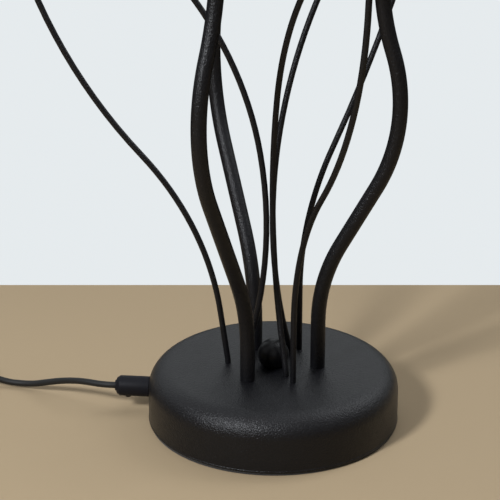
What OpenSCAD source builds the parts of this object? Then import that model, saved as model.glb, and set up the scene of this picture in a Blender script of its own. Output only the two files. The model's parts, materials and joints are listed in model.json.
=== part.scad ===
// Table lamp: three wavy arm tubes and six wavy rods on a round, weighted base.
// Millimetres, +Z up. The origin is the centre of the base, on the table.
// The first arm stands towards +X and the mains cord leaves towards -X.

/* [Base] */
// Diameter of the round cover
base_d = 170; // [150:1:200]
// Height of the cover's top above the table
base_h = 40; // [36:1:60]
// Radius of the cover's rounded top edge
base_edge_r = 16; // [6:1:17]
// Sheet thickness of the spun cover
cover_t = 1.5; // [1:0.1:2.5]
// Thickness of the pad that the lamp stands on
pad_t = 2; // [1:0.5:4]
// How far the pad's edge lies inside the cover's rim
pad_inset = 0.8; // [0.2:0.1:1.2]
// Thickness of the cast-iron weight
weight_t = 9; // [8:0.5:12]
// Gap between the weight's edge and the cover's wall
weight_gap = 0.7; // [0.3:0.1:2]

/* [Centre fixing] */
// Thread diameter of the stud that clamps cover and weight
stud_d = 8; // [6:0.5:10]
// Diameter of the ball nut on top of the cover
ball_d = 21.5; // [19:0.5:28]
// Height of the ball's centre above the cover
ball_lift = 7.5; // [6:0.5:9]
// How far the stud reaches up into the ball
stud_in_ball = 10; // [6:1:12]
// Wall of the spacer tube round the stud
spacer_wall = 2.5; // [1.5:0.5:4]
// Width across the flats of the stud's nut
stud_nut_af = 14; // [13:0.5:18]
// Height of the stud's nut
stud_nut_h = 5; // [4:0.5:6]

/* [Arm tubes] */
// Outside diameter of the tubes
tube_d = 10; // [9:0.5:12]
// Wall of the tubes
tube_wall = 1; // [0.8:0.1:1.2]
// Distance of the tubes' feet from the lamp's axis
tube_foot_r = 30; // [28:0.5:40]
// Radii of each tube's four bends, from the foot up
tube_radii = [117, 117, 172, 117]; // [90:1:200]
// Straight length at the top of each tube
tube_top_run = 14; // [12:1:30]
// Straight lengths of tube 1 below its first and second bends
tube_1_runs = [33.5, 47]; // [20:0.5:80]
// First three bends of tube 1, outwards positive; the fourth stands it upright
tube_1_bends = [28.5, -46.5, 38]; // [-60:0.5:60]
// Straight lengths of tube 2 below its first and second bends
tube_2_runs = [19, 60]; // [18:0.5:80]
// First three bends of tube 2
tube_2_bends = [33, -46, 33]; // [-60:0.5:60]
// Straight lengths of tube 3 below its first and second bends
tube_3_runs = [22, 70]; // [18:0.5:80]
// First three bends of tube 3
tube_3_bends = [26, -48.5, 43]; // [-60:0.5:60]
// How far each tube is turned about its own foot
tube_turns = [-5.5, 0, 2.5]; // [-20:0.5:20]

/* [Rods] */
// Diameter of the rods
rod_d = 4; // [3.5:0.1:4.3]
// Distance of the outer rods' feet from the lamp's axis
outer_foot_r = 31; // [28:0.5:45]
// Distance of the inner rods' feet from the lamp's axis
inner_foot_r = 20; // [19.5:0.5:22]
// Straight length of each rod on the cover, below its lean
rod_foot_run = 1; // [1:0.5:3]
// Radius of the bend that leans each rod at its foot
rod_foot_bend_r = 12; // [10:1:20]
// Outer rod 1: lean at the foot, then three bends, outwards positive
outer_1_bends = [8, 34.5, -30, 12]; // [-60:0.5:60]
// Radii of the three bends of outer rod 1
outer_1_radii = [203, 345, 150]; // [100:1:600]
// Straight lengths of outer rod 1 above its lean and at its tip
outer_1_runs = [35.5, 25]; // [10:0.5:60]
// Outer rod 2: lean and bends
outer_2_bends = [0, 39.5, -37, 24]; // [-60:0.5:60]
// Radii of the three bends of outer rod 2
outer_2_radii = [158, 230, 200]; // [100:1:600]
// Straight lengths of outer rod 2 above its lean and at its tip
outer_2_runs = [40, 20]; // [10:0.5:60]
// Outer rod 3: lean and bends
outer_3_bends = [0, 34, -12, -20]; // [-60:0.5:60]
// Radii of the three bends of outer rod 3
outer_3_radii = [169, 750, 200]; // [100:1:900]
// Straight lengths of outer rod 3 above its lean and at its tip
outer_3_runs = [45, 25]; // [10:0.5:60]
// Inner rod 1: lean and bends
inner_1_bends = [-15, 24.5, 34, -43]; // [-60:0.5:60]
// Radii of the three bends of inner rod 1
inner_1_radii = [311, 243, 150]; // [100:1:600]
// Straight lengths of inner rod 1 above its lean and at its tip
inner_1_runs = [15, 20]; // [10:0.5:60]
// Inner rod 2: lean and bends
inner_2_bends = [-16, 25.5, 40, -47]; // [-60:0.5:60]
// Radii of the three bends of inner rod 2
inner_2_radii = [387, 174, 150]; // [100:1:600]
// Straight lengths of inner rod 2 above its lean and at its tip
inner_2_runs = [16, 20]; // [10:0.5:60]
// Inner rod 3: lean and bends
inner_3_bends = [-16, 20, 32, -34]; // [-60:0.5:60]
// Radii of the three bends of inner rod 3
inner_3_radii = [312, 269, 150]; // [100:1:600]
// Straight lengths of inner rod 3 above its lean and at its tip
inner_3_runs = [15.5, 25]; // [10:0.5:60]
// How far each outer rod is turned about its own foot
outer_turns = [0, 2, -13]; // [-20:0.5:20]
// How far each inner rod is turned about its own foot
inner_turns = [0, 4, -13]; // [-20:0.5:20]
// Diameter of the ball on each rod's tip
tip_ball_d = 9; // [7:0.5:14]
// Thread diameter of the spigot under each rod
spigot_d = 3; // [2.5:0.1:3.2]

/* [Nuts and washers] */
// Width across the flats of the nuts under the tubes
tube_nut_af = 14; // [13:0.5:17]
// Height of the nuts under the tubes
tube_nut_h = 5; // [3:0.5:6]
// Diameter of the washers under the tubes
tube_washer_d = 16; // [15:0.5:18]
// Width across the flats of the nuts under the rods
rod_nut_af = 5.5; // [5:0.1:7]
// Height of the nuts under the rods
rod_nut_h = 2.4; // [2:0.1:3]
// Diameter of the washers under the rods
rod_washer_d = 7; // [6:0.5:9]
// Thickness of every washer
washer_t = 0.8; // [0.5:0.1:1.5]

/* [Wiring] */
// Bore of the threaded nipples that hold the tubes
nipple_bore = 5.5; // [4:0.1:6]
// How far a nipple reaches into a tube, at its foot and at its top
nipple_in = 10; // [6:1:12]
// Diameter of the wire in each arm
wire_d = 3.4; // [2.5:0.1:3.8]
// Length, width and height of the terminal block
block_size = [22, 20, 14]; // [12:1:26]
// Length of cord between the cover's wall and the terminal block
tail_in = 22.5; // [18:0.5:26]
// Distance between the block's two brass sleeves
sleeve_gap = 10; // [9:0.5:12]
// Diameter of the brass sleeves
sleeve_d = 4.6; // [4:0.1:5.5]
// Bore of the brass sleeves
sleeve_bore = 3; // [2.4:0.1:3.4]
// Diameter of the clamp screws in the block and of its fixing screw
block_screw_d = 3; // [2.5:0.1:3]

/* [Cord gland] */
// Height of the gland's axis above the table
gland_z = 19; // [18:0.5:22]
// Diameter of the gland's barrel
gland_d = 14; // [13:0.5:18]
// Length of the barrel outside the cover
gland_l = 20.5; // [18:0.5:40]
// Length of the bevel at the barrel's end
gland_bevel_l = 2.3; // [1:0.1:4]
// Diameter where the bevel ends
gland_bevel_d = 10.4; // [10:0.1:12]
// Diameter of the lip that the cord leaves
gland_lip_d = 9; // [7:0.5:10]
// Length of that lip
gland_lip_l = 1.2; // [0.8:0.1:3]
// Thread diameter of the gland in the cover's wall
gland_thread_d = 9.6; // [8:0.1:10]
// Thickness of the nut behind the wall
gland_nut_t = 4; // [3:0.5:6]
// Distance of the cord clamp's screw from the wall
clamp_at = 15.2; // [8:0.1:17]
// Diameter of the clamp screw's head
clamp_head_d = 4.2; // [3.8:0.1:5]
// How far that head stands proud of the barrel
clamp_proud = 1; // [0.4:0.1:2]
// Thread diameter of the clamp screw
clamp_d = 3; // [2.5:0.1:3.2]

/* [Lampholders] */
// Diameter of the cup at the top of each arm
cup_d = 36; // [34:0.5:44]
// Height of the cup
cup_h = 46; // [42:0.5:54]
// Wall of the cup
cup_t = 1; // [0.8:0.1:1.4]
// Radius of the cup's rounded bottom edge
cup_edge_r = 9; // [6:0.5:9]
// Diameter of the lampholder's body
holder_d = 27; // [24:0.5:30]
// Height of the lampholder
holder_h = 40; // [36:0.5:42]
// Diameter of the boss under the lampholder
boss_d = 15; // [14:0.5:16]
// Height of that boss
boss_h = 6; // [6:0.5:8]
// Height of the socket's floor inside the lampholder
socket_floor = 16; // [13:0.5:18]
// Outside diameter of the screw shell
shell_d = 15.2; // [14.8:0.1:17]
// Wall of the screw shell
shell_wall = 0.5; // [0.4:0.1:0.6]
// Height of the screw shell
shell_h = 16; // [10:0.5:18]
// Height of the centre contact
contact_h = 2.5; // [1.5:0.1:3]
// Diameter of the globe of each bulb
globe_d = 45; // [40:0.5:60]
// Height of the globe's centre above the bulb's cap
globe_lift = 36; // [32:0.5:50]
// Wall of the bulb's glass
glass_t = 0.9; // [0.6:0.1:1.5]
// Diameter of the glass where it leaves the cap
neck_d = 13; // [11:0.5:13.5]
// Height of the straight neck above the cap
neck_h = 5; // [3:0.5:8]
// Length of the threaded part of the cap
cap_h = 16; // [12:0.5:17]

/* [Cord] */
// Diameter of the mains cord
cord_d = 4.5; // [4:0.1:4.8]
// Number of turns in the coil
coil_turns = 9; // [5:1:12]
// Radius of the coil at the middle of its turns
coil_mid_r = 27; // [26:0.5:30]
// Distance from turn to turn, beside and above each other
coil_pitch = 5; // [4.9:0.1:5.5]
// Thickness of the tie round the coil
tie_t = 0.8; // [0.5:0.1:1.5]
// Width of the tie
tie_w = 8; // [5:0.5:12]

/* [Cord switch] */
// Length, width and height of the switch's housing
switch_size = [60, 24, 16]; // [15:0.5:70]
// Wall of the housing
switch_wall = 1.8; // [1.4:0.1:2.2]
// Radius of the housing's corners, seen from above
switch_corner_r = 9; // [6:0.5:10]
// Width of the rocker
rocker_w = 10; // [7:0.5:11]
// Reach of the rocker from its pin
rocker_r = 9.8; // [8:0.1:12]
// Tilt of the rocker to either side
rocker_tilt = 8; // [5:0.5:10]
// Diameter of the rocker's pin
pin_d = 2; // [1.5:0.1:2.5]
// Diameter of the housing screws
case_screw_d = 2.4; // [2:0.1:2.6]
// Diameter of the housing screws' heads
case_head_d = 4.4; // [3.8:0.1:4.6]

/* [Plug] */
// Width, thickness and length of the plug's body
plug_size = [35.2, 14, 36]; // [12:0.2:44]
// Width of the plug's body at its cord end
plug_neck_w = 15; // [12:0.5:20]
// Length of the straight front part of the plug's body
plug_front_l = 16; // [8:0.5:22]
// Length of the tapered strain relief
relief_l = 24; // [20:0.5:34]
// Diameter of the strain relief at the cord and at the plug
relief_d = [6.6, 10]; // [6:0.1:13]
// Diameter of the pins
plug_pin_d = 4; // [3.8:0.1:4.8]
// Length of the pins outside the body
plug_pin_l = 19; // [16:0.5:22]
// Distance between the pins
plug_pin_pitch = 19; // [17:0.5:22]

/* [Hidden] */
$fn = 48;

// Clearances
thread_gap = 0.05;
hole_gap = 0.15;
seat_gap = 0.05;
cord_gap = 0.15;
slack = 0.5;
cut = 1;

// Finishes
coat = [0.1, 0.1, 0.105];
black_plastic = [0.12, 0.12, 0.13];
zinc = [0.72, 0.73, 0.74];
brass = [0.8, 0.65, 0.3];
pvc = [0.08, 0.08, 0.085];

// Heights and radii that several pieces share
arms = 3;
arm_step = 360 / arms;
rod_side = 180;
base_r = base_d / 2;
wall_in_r = base_r - cover_t;
cover_under = base_h - cover_t;
weight_top = pad_t + weight_t;
stud_hole_d = stud_d + 2 * hole_gap;
nut_pocket_h = stud_nut_h + slack;
tube_bore = tube_d - 2 * tube_wall;
nipple_d = tube_bore - 2 * thread_gap;
nipple_tail = 1.5;
nipple_low = cover_under - washer_t - tube_nut_h - nipple_tail;
spigot_tail = 0.8;
spigot_l = cover_t + washer_t + rod_nut_h + spigot_tail;
spigot_root = rod_foot_run / 2;
hex_corner = 1 / cos(30);

// A stem is drawn as a list of [straight length, bend radius, bend angle], from its foot up
tube_runs = [tube_1_runs, tube_2_runs, tube_3_runs];
tube_angles = [tube_1_bends, tube_2_bends, tube_3_bends];
outer_bends = [outer_1_bends, outer_2_bends, outer_3_bends];
outer_radii = [outer_1_radii, outer_2_radii, outer_3_radii];
outer_runs = [outer_1_runs, outer_2_runs, outer_3_runs];
inner_bends = [inner_1_bends, inner_2_bends, inner_3_bends];
inner_radii = [inner_1_radii, inner_2_radii, inner_3_radii];
inner_runs = [inner_1_runs, inner_2_runs, inner_3_runs];

function total(list, i = 0) = i < len(list) ? list[i] + total(list, i + 1) : 0;

function tube_path(i) =
    let (run = tube_runs[i], bend = tube_angles[i])
    [[run[0], tube_radii[0], bend[0]],
     [run[1], tube_radii[1], bend[1]],
     [0, tube_radii[2], bend[2]],
     [0, tube_radii[3], -total(bend)],
     [tube_top_run, 0, 0]];

function rod_path(bend, radius, run) =
    [[rod_foot_run, rod_foot_bend_r, bend[0]],
     [run[0], radius[0], bend[1]],
     [0, radius[1], bend[2]],
     [0, radius[2], bend[3]],
     [run[1], 0, 0]];

function outer_path(i) = rod_path(outer_bends[i], outer_radii[i], outer_runs[i]);
function inner_path(i) = rod_path(inner_bends[i], inner_radii[i], inner_runs[i]);

// A place on a stem is [distance out, height, heading from upright]
stem_foot = [0, base_h, 0];

function stem_straight(place, length) =
    [place[0] + length * sin(place[2]), place[1] + length * cos(place[2]), place[2]];

function stem_bend(place, radius, angle) =
    let (side = sign(angle), turned = place[2] + angle)
    [place[0] + side * radius * (cos(place[2]) - cos(turned)),
     place[1] + side * radius * (sin(turned) - sin(place[2])),
     turned];

function stem_place(path, n, start = stem_foot) =
    n == 0 ? start
    : let (below = stem_place(path, n - 1, start), piece = path[n - 1])
      stem_bend(stem_straight(below, piece[0]), piece[1], piece[2]);

function stem_end(path) = stem_place(path, len(path));

// The same path with its first and last straights made longer
function stretched(path, extra) =
    [for (i = [0 : len(path) - 1])
        i == 0 || i == len(path) - 1 ? [path[i][0] + extra, path[i][1], path[i][2]] : path[i]];

// Places along a stem, no further apart than step
function stem_places(path, step) =
    [for (i = [0 : len(path) - 1])
        let (low = stem_place(path, i), piece = path[i], high = stem_straight(low, piece[0]))
        let (straights = ceil(piece[0] / step), bends = ceil(abs(piece[2]) * PI / 180 * piece[1] / step))
        each concat(
            [for (k = [1 : 1 : straights]) stem_straight(low, piece[0] * k / straights)],
            [for (k = [1 : 1 : bends]) stem_bend(high, piece[1], piece[2] * k / bends)])];

// Tubes swept along points
function unit(v) = v / norm(v);
function tangent(p, i) = unit(p[min(i + 1, len(p) - 1)] - p[max(i - 1, 0)]);
function beside(v, t) = unit(v - (v * t) * t);
function first_side(t) = beside(abs(t[2]) < 0.9 ? [0, 0, 1] : [1, 0, 0], t);
function sides_along(p) =
    [for (i = 0, v = first_side(tangent(p, 0)); i < len(p);
          i = i + 1, v = i < len(p) ? beside(v, tangent(p, i)) : v) v];

function bezier(a, b, c, d, t) =
    pow(1 - t, 3) * a + 3 * t * pow(1 - t, 2) * b + 3 * t * t * (1 - t) * c + pow(t, 3) * d;

module swept_tube(p, d, sides) {
    v = sides_along(p);
    rings = len(p);
    points = [
        for (i = [0 : rings - 1])
            let (t = tangent(p, i), w = cross(t, v[i]))
            for (k = [0 : sides - 1])
                p[i] + d / 2 * (cos(360 * k / sides) * v[i] + sin(360 * k / sides) * w)];
    walls = [
        for (i = [0 : rings - 2])
            for (k = [0 : sides - 1])
                let (a = i * sides + k, b = i * sides + (k + 1) % sides)
                each [[a, a + sides, b + sides], [a, b + sides, b]]];
    first_cap = [for (k = [0 : sides - 1]) k];
    last_cap = [for (k = [sides - 1 : -1 : 0]) (rings - 1) * sides + k];
    polyhedron(points, concat(walls, [first_cap, last_cap]), convexity = 10);
}

// Shared shapes
module ring(d, bore, h) {
    difference() {
        cylinder(d = d, h = h);
        translate([0, 0, -cut]) cylinder(d = bore, h = h + 2 * cut);
    }
}

module hex_nut(across, bore, h) {
    difference() {
        cylinder(d = across * hex_corner, h = h, $fn = 6);
        translate([0, 0, -cut]) cylinder(d = bore, h = h + 2 * cut);
    }
}

// Half section of a drum with a rounded top edge
module drum_section(r, h, edge) {
    square([r - edge, h]);
    square([r, h - edge]);
    translate([r - edge, h - edge]) circle(edge);
}

// Half section of a bowl with a rounded bottom edge
module bowl_section(r, h, edge) {
    translate([0, h]) mirror([0, 1]) drum_section(r, h, edge);
}

module rounded_plan(l, w, r) {
    square([l - 2 * r, w], center = true);
    square([l, w - 2 * r], center = true);
    for (x = [-1, 1], y = [-1, 1])
        translate([x * (l / 2 - r), y * (w / 2 - r)]) circle(r);
}

// A bent round bar. A fine collar joins each straight to the next bend
collar_l = 1;
collar_rise = 0.02;

module along(place) {
    translate([place[0], place[1], 0]) rotate([0, 0, -place[2]]) rotate([-90, 0, 0]) children();
}

module bent_bar(path, d, start = stem_foot) {
    rotate([90, 0, 0]) for (i = [0 : len(path) - 1]) {
        low = stem_place(path, i, start);
        run = path[i][0];
        radius = path[i][1];
        angle = path[i][2];
        high = stem_straight(low, run);
        if (run > 0) along(low) cylinder(d = d, h = run);
        if (i > 0) along(low) cylinder(d = d + 2 * collar_rise, h = collar_l, center = true);
        if (run > 0 && angle != 0)
            along(high) cylinder(d = d + 2 * collar_rise, h = collar_l, center = true);
        if (angle > 0)
            translate([high[0] + radius * cos(high[2]), high[1] - radius * sin(high[2]), 0])
                rotate([0, 0, 180 - high[2] - angle])
                    rotate_extrude(angle = angle) translate([radius, 0]) circle(d = d);
        if (angle < 0)
            translate([high[0] - radius * cos(high[2]), high[1] + radius * sin(high[2]), 0])
                rotate([0, 0, -high[2]])
                    rotate_extrude(angle = -angle) translate([radius, 0]) circle(d = d);
    }
}

// Places round the base
module at_arm(i) {
    rotate([0, 0, arm_step * i]) translate([tube_foot_r, 0, 0]) rotate([0, 0, tube_turns[i]]) children();
}

module at_arm_top(i) {
    end = stem_end(tube_path(i));
    at_arm(i) translate([end[0], 0, end[1]]) children();
}

module at_rod(i, foot_r, turn) {
    rotate([0, 0, rod_side + arm_step * i]) translate([foot_r, 0, 0]) rotate([0, 0, turn]) children();
}

module at_every_rod() {
    for (i = [0 : arms - 1]) {
        at_rod(i, outer_foot_r, outer_turns[i]) children();
        at_rod(i, inner_foot_r, inner_turns[i]) children();
    }
}

// The gland's own frame has its +Z along the cord, out of the base
module at_gland() {
    translate([-base_r, 0, gland_z]) rotate([0, -90, 0]) children();
}

// Base
module base_cover() {
    inner_h = base_h - pad_t - cover_t;
    color(coat) difference() {
        translate([0, 0, pad_t]) rotate_extrude() difference() {
            drum_section(base_r, base_h - pad_t, base_edge_r);
            translate([0, -cut]) drum_section(wall_in_r, inner_h + cut, base_edge_r - cover_t);
        }
        translate([0, 0, cover_under - cut]) cylinder(d = stud_hole_d, h = cover_t + 2 * cut);
        for (i = [0 : arms - 1]) at_arm(i) translate([0, 0, cover_under - cut])
            cylinder(d = nipple_d + 2 * hole_gap, h = cover_t + 2 * cut);
        at_every_rod() translate([0, 0, cover_under - cut])
            cylinder(d = spigot_d + 2 * hole_gap, h = cover_t + 2 * cut);
        at_gland() translate([0, 0, -base_edge_r])
            cylinder(d = gland_thread_d + 2 * hole_gap, h = base_edge_r + cut);
    }
}

module base_weight() {
    notch_w = gland_nut_d + 2 * slack;
    color([0.3, 0.3, 0.31]) difference() {
        translate([0, 0, pad_t]) cylinder(r = wall_in_r - weight_gap, h = weight_t);
        translate([0, 0, pad_t - cut]) cylinder(d = stud_hole_d, h = weight_t + 2 * cut);
        translate([0, 0, pad_t - cut])
            cylinder(d = stud_nut_af * hex_corner + 2 * slack, h = nut_pocket_h + cut);
        translate([-base_r, -notch_w / 2, gland_z - notch_w / 2])
            cube([base_r - wall_in_r + gland_nut_back + slack, notch_w, notch_w]);
        translate([-block_r, 0, weight_top - block_pilot])
            cylinder(d = block_screw_d + 2 * thread_gap, h = block_pilot + cut);
    }
}

module base_pad() {
    color([0.16, 0.16, 0.17]) cylinder(r = base_r - pad_inset, h = pad_t);
}

module centre_stud() {
    low = pad_t + slack;
    color(zinc) translate([0, 0, low]) cylinder(d = stud_d, h = base_h + stud_in_ball - low);
}

module spacer_tube() {
    color(zinc) translate([0, 0, weight_top])
        ring(stud_hole_d + 2 * spacer_wall, stud_hole_d, cover_under - weight_top);
}

module stud_nut() {
    color(zinc) translate([0, 0, pad_t + nut_pocket_h - stud_nut_h])
        hex_nut(stud_nut_af, stud_d + 2 * thread_gap, stud_nut_h);
}

module ball_nut() {
    color([0.06, 0.06, 0.065]) translate([0, 0, base_h]) difference() {
        translate([0, 0, ball_lift]) sphere(d = ball_d);
        translate([-ball_d, -ball_d, -ball_d]) cube([2 * ball_d, 2 * ball_d, ball_d]);
        translate([0, 0, -cut]) cylinder(d = stud_d + 2 * thread_gap, h = stud_in_ball + slack + cut);
    }
}

// Arms and rods
module arm_tube(i) {
    path = tube_path(i);
    color(coat) at_arm(i) difference() {
        bent_bar(path, tube_d);
        bent_bar(stretched(path, cut), tube_bore, [0, base_h - cut, 0]);
    }
}

module arm_nipples() {
    color(zinc) for (i = [0 : arms - 1]) at_arm(i) translate([0, 0, nipple_low])
        ring(nipple_d, nipple_bore, base_h + nipple_in - nipple_low);
}

module arm_washers() {
    color(zinc) for (i = [0 : arms - 1]) at_arm(i) translate([0, 0, cover_under - washer_t])
        ring(tube_washer_d, nipple_d + 2 * hole_gap, washer_t);
}

module arm_nuts() {
    color(zinc) for (i = [0 : arms - 1]) at_arm(i)
        translate([0, 0, cover_under - washer_t - tube_nut_h])
            hex_nut(tube_nut_af, nipple_d + 2 * thread_gap, tube_nut_h);
}

module rod_with_spigot(path) {
    bent_bar(path, rod_d);
    translate([0, 0, base_h - spigot_l]) cylinder(d = spigot_d, h = spigot_l + spigot_root);
}

module outer_rod(i) {
    color(coat) at_rod(i, outer_foot_r, outer_turns[i]) rod_with_spigot(outer_path(i));
}

module inner_rod(i) {
    color(coat) at_rod(i, inner_foot_r, inner_turns[i]) rod_with_spigot(inner_path(i));
}

module rod_washers() {
    color(zinc) at_every_rod() translate([0, 0, cover_under - washer_t])
        ring(rod_washer_d, spigot_d + 2 * hole_gap, washer_t);
}

module rod_nuts() {
    color(zinc) at_every_rod() translate([0, 0, cover_under - washer_t - rod_nut_h])
        hex_nut(rod_nut_af, spigot_d + 2 * thread_gap, rod_nut_h);
}

// A ball whose blind hole ends just past its middle, where the rod's tip stops
module tip_ball(path) {
    end = stem_end(path);
    past_middle = 0.5;
    translate([end[0], 0, end[1]]) rotate([0, end[2], 0]) difference() {
        translate([0, 0, -past_middle]) sphere(d = tip_ball_d);
        translate([0, 0, -tip_ball_d]) cylinder(d = rod_d + 2 * thread_gap + 2 * collar_rise, h = tip_ball_d);
    }
}

module rod_tip_balls() {
    color(coat) for (i = [0 : arms - 1]) {
        at_rod(i, outer_foot_r, outer_turns[i]) tip_ball(outer_path(i));
        at_rod(i, inner_foot_r, inner_turns[i]) tip_ball(inner_path(i));
    }
}

// Cord gland
gland_out = gland_l + gland_bevel_l + gland_lip_l;
gland_bore = cord_d + 2 * cord_gap;
gland_nut_d = gland_d;

// Inner radius of the cover at a height, its rounded edge included
function wall_r(z) =
    let (edge = base_edge_r - cover_t, above = max(0, z - base_h + base_edge_r))
    wall_in_r - edge + sqrt(pow(edge, 2) - pow(above, 2));

gland_nut_wall = sqrt(pow(wall_r(gland_z + gland_nut_d / 2), 2) - pow(gland_nut_d / 2, 2));
gland_nut_face = base_r - gland_nut_wall + seat_gap;
gland_nut_back = gland_nut_face - cover_t + gland_nut_t;
gland_thread_past = 1;
gland_stub = gland_nut_face + gland_nut_t + gland_thread_past;
clamp_sink = 1.2;

module at_clamp() {
    translate([0, 0, clamp_at]) rotate([0, -90, 0]) children();
}

module gland_body() {
    color(black_plastic) at_gland() difference() {
        union() {
            translate([0, 0, -gland_stub]) cylinder(d = gland_thread_d, h = gland_stub + cut);
            translate([0, 0, seat_gap]) cylinder(d = gland_d, h = gland_l - seat_gap);
            translate([0, 0, gland_l]) cylinder(d1 = gland_d, d2 = gland_bevel_d, h = gland_bevel_l);
            translate([0, 0, gland_l]) cylinder(d = gland_lip_d, h = gland_bevel_l + gland_lip_l);
        }
        translate([0, 0, -gland_stub - cut]) cylinder(d = gland_bore, h = gland_stub + gland_out + 2 * cut);
        at_clamp() cylinder(d = clamp_d + 2 * thread_gap, h = gland_d);
        at_clamp() translate([0, 0, gland_d / 2 - clamp_sink])
            cylinder(d = clamp_head_d + 2 * hole_gap, h = gland_d);
    }
}

module gland_nut() {
    color(black_plastic) at_gland() translate([0, 0, -gland_nut_face - gland_nut_t])
        hex_nut(gland_nut_d / hex_corner, gland_thread_d + 2 * thread_gap, gland_nut_t);
}

module gland_screw() {
    tip = cord_d / 2 + seat_gap;
    head_low = gland_d / 2 - clamp_sink;
    slot_w = 0.8;
    slot_deep = 0.7;
    color(black_plastic) at_gland() at_clamp() difference() {
        union() {
            translate([0, 0, tip]) cylinder(d = clamp_d, h = head_low - tip + cut / 2);
            translate([0, 0, head_low]) cylinder(d = clamp_head_d, h = clamp_sink + clamp_proud);
        }
        translate([-clamp_head_d, -slot_w / 2, gland_d / 2 + clamp_proud - slot_deep])
            cube([2 * clamp_head_d, slot_w, slot_deep + cut]);
    }
}

// The sheathed end of the cord, from the gland's lip to the terminal block
module mains_tail() {
    inside = base_r - block_r - block_size[0] / 2;
    color(pvc) at_gland() translate([0, 0, -inside]) cylinder(d = cord_d, h = inside + gland_out);
}

// Terminal block
block_r = wall_in_r - tail_in - block_size[0] / 2;
block_pilot = 5;
block_head_rim = 1.3;
block_head_d = block_screw_d + 2 * block_head_rim;
block_head_h = 2;
block_head_z = weight_top + block_size[2] - block_head_h - slack;
clamp_screw_x = block_size[0] / 4;
sleeve_end = 1;

module at_sleeves() {
    for (y = [-1, 1]) translate([-block_r, y * sleeve_gap / 2, gland_z]) rotate([0, 90, 0]) children();
}

module at_terminal_screws() {
    for (x = [-1, 1], y = [-1, 1])
        translate([-block_r + x * clamp_screw_x, y * sleeve_gap / 2, gland_z]) children();
}

module terminal_block() {
    color([0.85, 0.85, 0.82]) difference() {
        translate([-block_r - block_size[0] / 2, -block_size[1] / 2, weight_top]) cube(block_size);
        at_sleeves() cylinder(d = sleeve_d + 2 * thread_gap, h = block_size[0] + 2 * cut, center = true);
        at_terminal_screws() cylinder(d = block_screw_d + 2 * hole_gap, h = block_size[2]);
        translate([-block_r, 0, weight_top - cut])
            cylinder(d = block_screw_d + 2 * hole_gap, h = block_size[2] + 2 * cut);
        translate([-block_r, 0, block_head_z])
            cylinder(d = block_head_d + 2 * hole_gap, h = block_head_h + slack + cut);
    }
}

module terminal_sleeves() {
    color(brass) difference() {
        at_sleeves() cylinder(d = sleeve_d, h = block_size[0] - 2 * sleeve_end, center = true);
        at_sleeves() cylinder(d = sleeve_bore, h = block_size[0] + cut, center = true);
        at_terminal_screws() cylinder(d = block_screw_d + 2 * thread_gap, h = sleeve_d);
    }
}

module terminal_screws() {
    low = sleeve_bore / 4;
    high = weight_top + block_size[2] - gland_z - slack;
    color(zinc) at_terminal_screws() translate([0, 0, low]) cylinder(d = block_screw_d, h = high - low);
}

module block_screw() {
    low = weight_top - block_pilot + slack;
    color(zinc) translate([-block_r, 0, 0]) {
        translate([0, 0, low]) cylinder(d = block_screw_d, h = block_head_z - low + cut / 2);
        translate([0, 0, block_head_z]) cylinder(d = block_head_d, h = block_head_h);
    }
}

// Wires from the block, through the nipples and tubes, to the lampholders
wire_rings = 12;
wire_sides = 8;
wire_space = 6;
wire_y = [0, wire_space, -wire_space];
wire_rise = [0, 0, base_h / 4];
wire_clear = 4;
wire_round = stud_d / 2 + spacer_wall + wire_d + wire_clear;
holder_nipple_up = 9;

function arm_foot(i) = [tube_foot_r * cos(arm_step * i), tube_foot_r * sin(arm_step * i), 0];
function arm_heading(i) = arm_step * i + tube_turns[i];
function arm_point(i, place) =
    arm_foot(i) + [place[0] * cos(arm_heading(i)), place[0] * sin(arm_heading(i)), place[1]];

// Under the cover, the wire to the first arm goes round the spacer
function wire_in_base(i) =
    let (from = [block_size[0] / 2 - block_r, wire_y[i], gland_z], to = arm_foot(i) + [0, 0, nipple_low])
    let (middle = [0, -wire_round, gland_z], reach = [block_size[0] / 2, 0, 0])
    i > 0 ? [for (k = [0 : wire_rings]) bezier(from, from + reach, to - wire_rise, to, k / wire_rings)]
    : concat(
        [for (k = [0 : wire_rings]) bezier(from, from + reach, middle - reach, middle, k / wire_rings)],
        [for (k = [1 : wire_rings]) bezier(middle, middle + reach, to - wire_rise, to, k / wire_rings)]);

function wire_points(i) =
    let (end = stem_end(tube_path(i)))
    concat(
        wire_in_base(i),
        [arm_foot(i) + [0, 0, base_h]],
        [for (place = stem_places(tube_path(i), 3 * wire_d)) arm_point(i, place)],
        [arm_point(i, [end[0], end[1] + cup_t + holder_nipple_up, 0])]);

module arm_wire(i) {
    color([0.8, 0.8, 0.78]) swept_tube(wire_points(i), wire_d, wire_sides);
}

// Lampholders. Each stands on its tube's end, with +Z up
module holder_cup(i) {
    color(coat) at_arm_top(i) difference() {
        rotate_extrude() difference() {
            bowl_section(cup_d / 2, cup_h, cup_edge_r);
            translate([0, cup_t]) bowl_section(cup_d / 2 - cup_t, cup_h, cup_edge_r - cup_t);
        }
        translate([0, 0, -cut]) cylinder(d = nipple_d + 2 * hole_gap, h = cup_t + 2 * cut);
    }
}

module holder_nipples() {
    color(zinc) for (i = [0 : arms - 1]) at_arm_top(i) translate([0, 0, -nipple_in])
        ring(nipple_d, nipple_bore, nipple_in + cup_t + holder_nipple_up);
}

module lampholder(i) {
    color(black_plastic) at_arm_top(i) translate([0, 0, cup_t]) difference() {
        union() {
            cylinder(d = boss_d, h = boss_h + cut);
            translate([0, 0, boss_h]) cylinder(d = holder_d, h = holder_h - boss_h);
        }
        translate([0, 0, -cut]) cylinder(d = nipple_d + 2 * thread_gap, h = holder_nipple_up + cut);
        translate([0, 0, socket_floor]) cylinder(d = shell_d + 2 * thread_gap, h = holder_h);
    }
}

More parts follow.
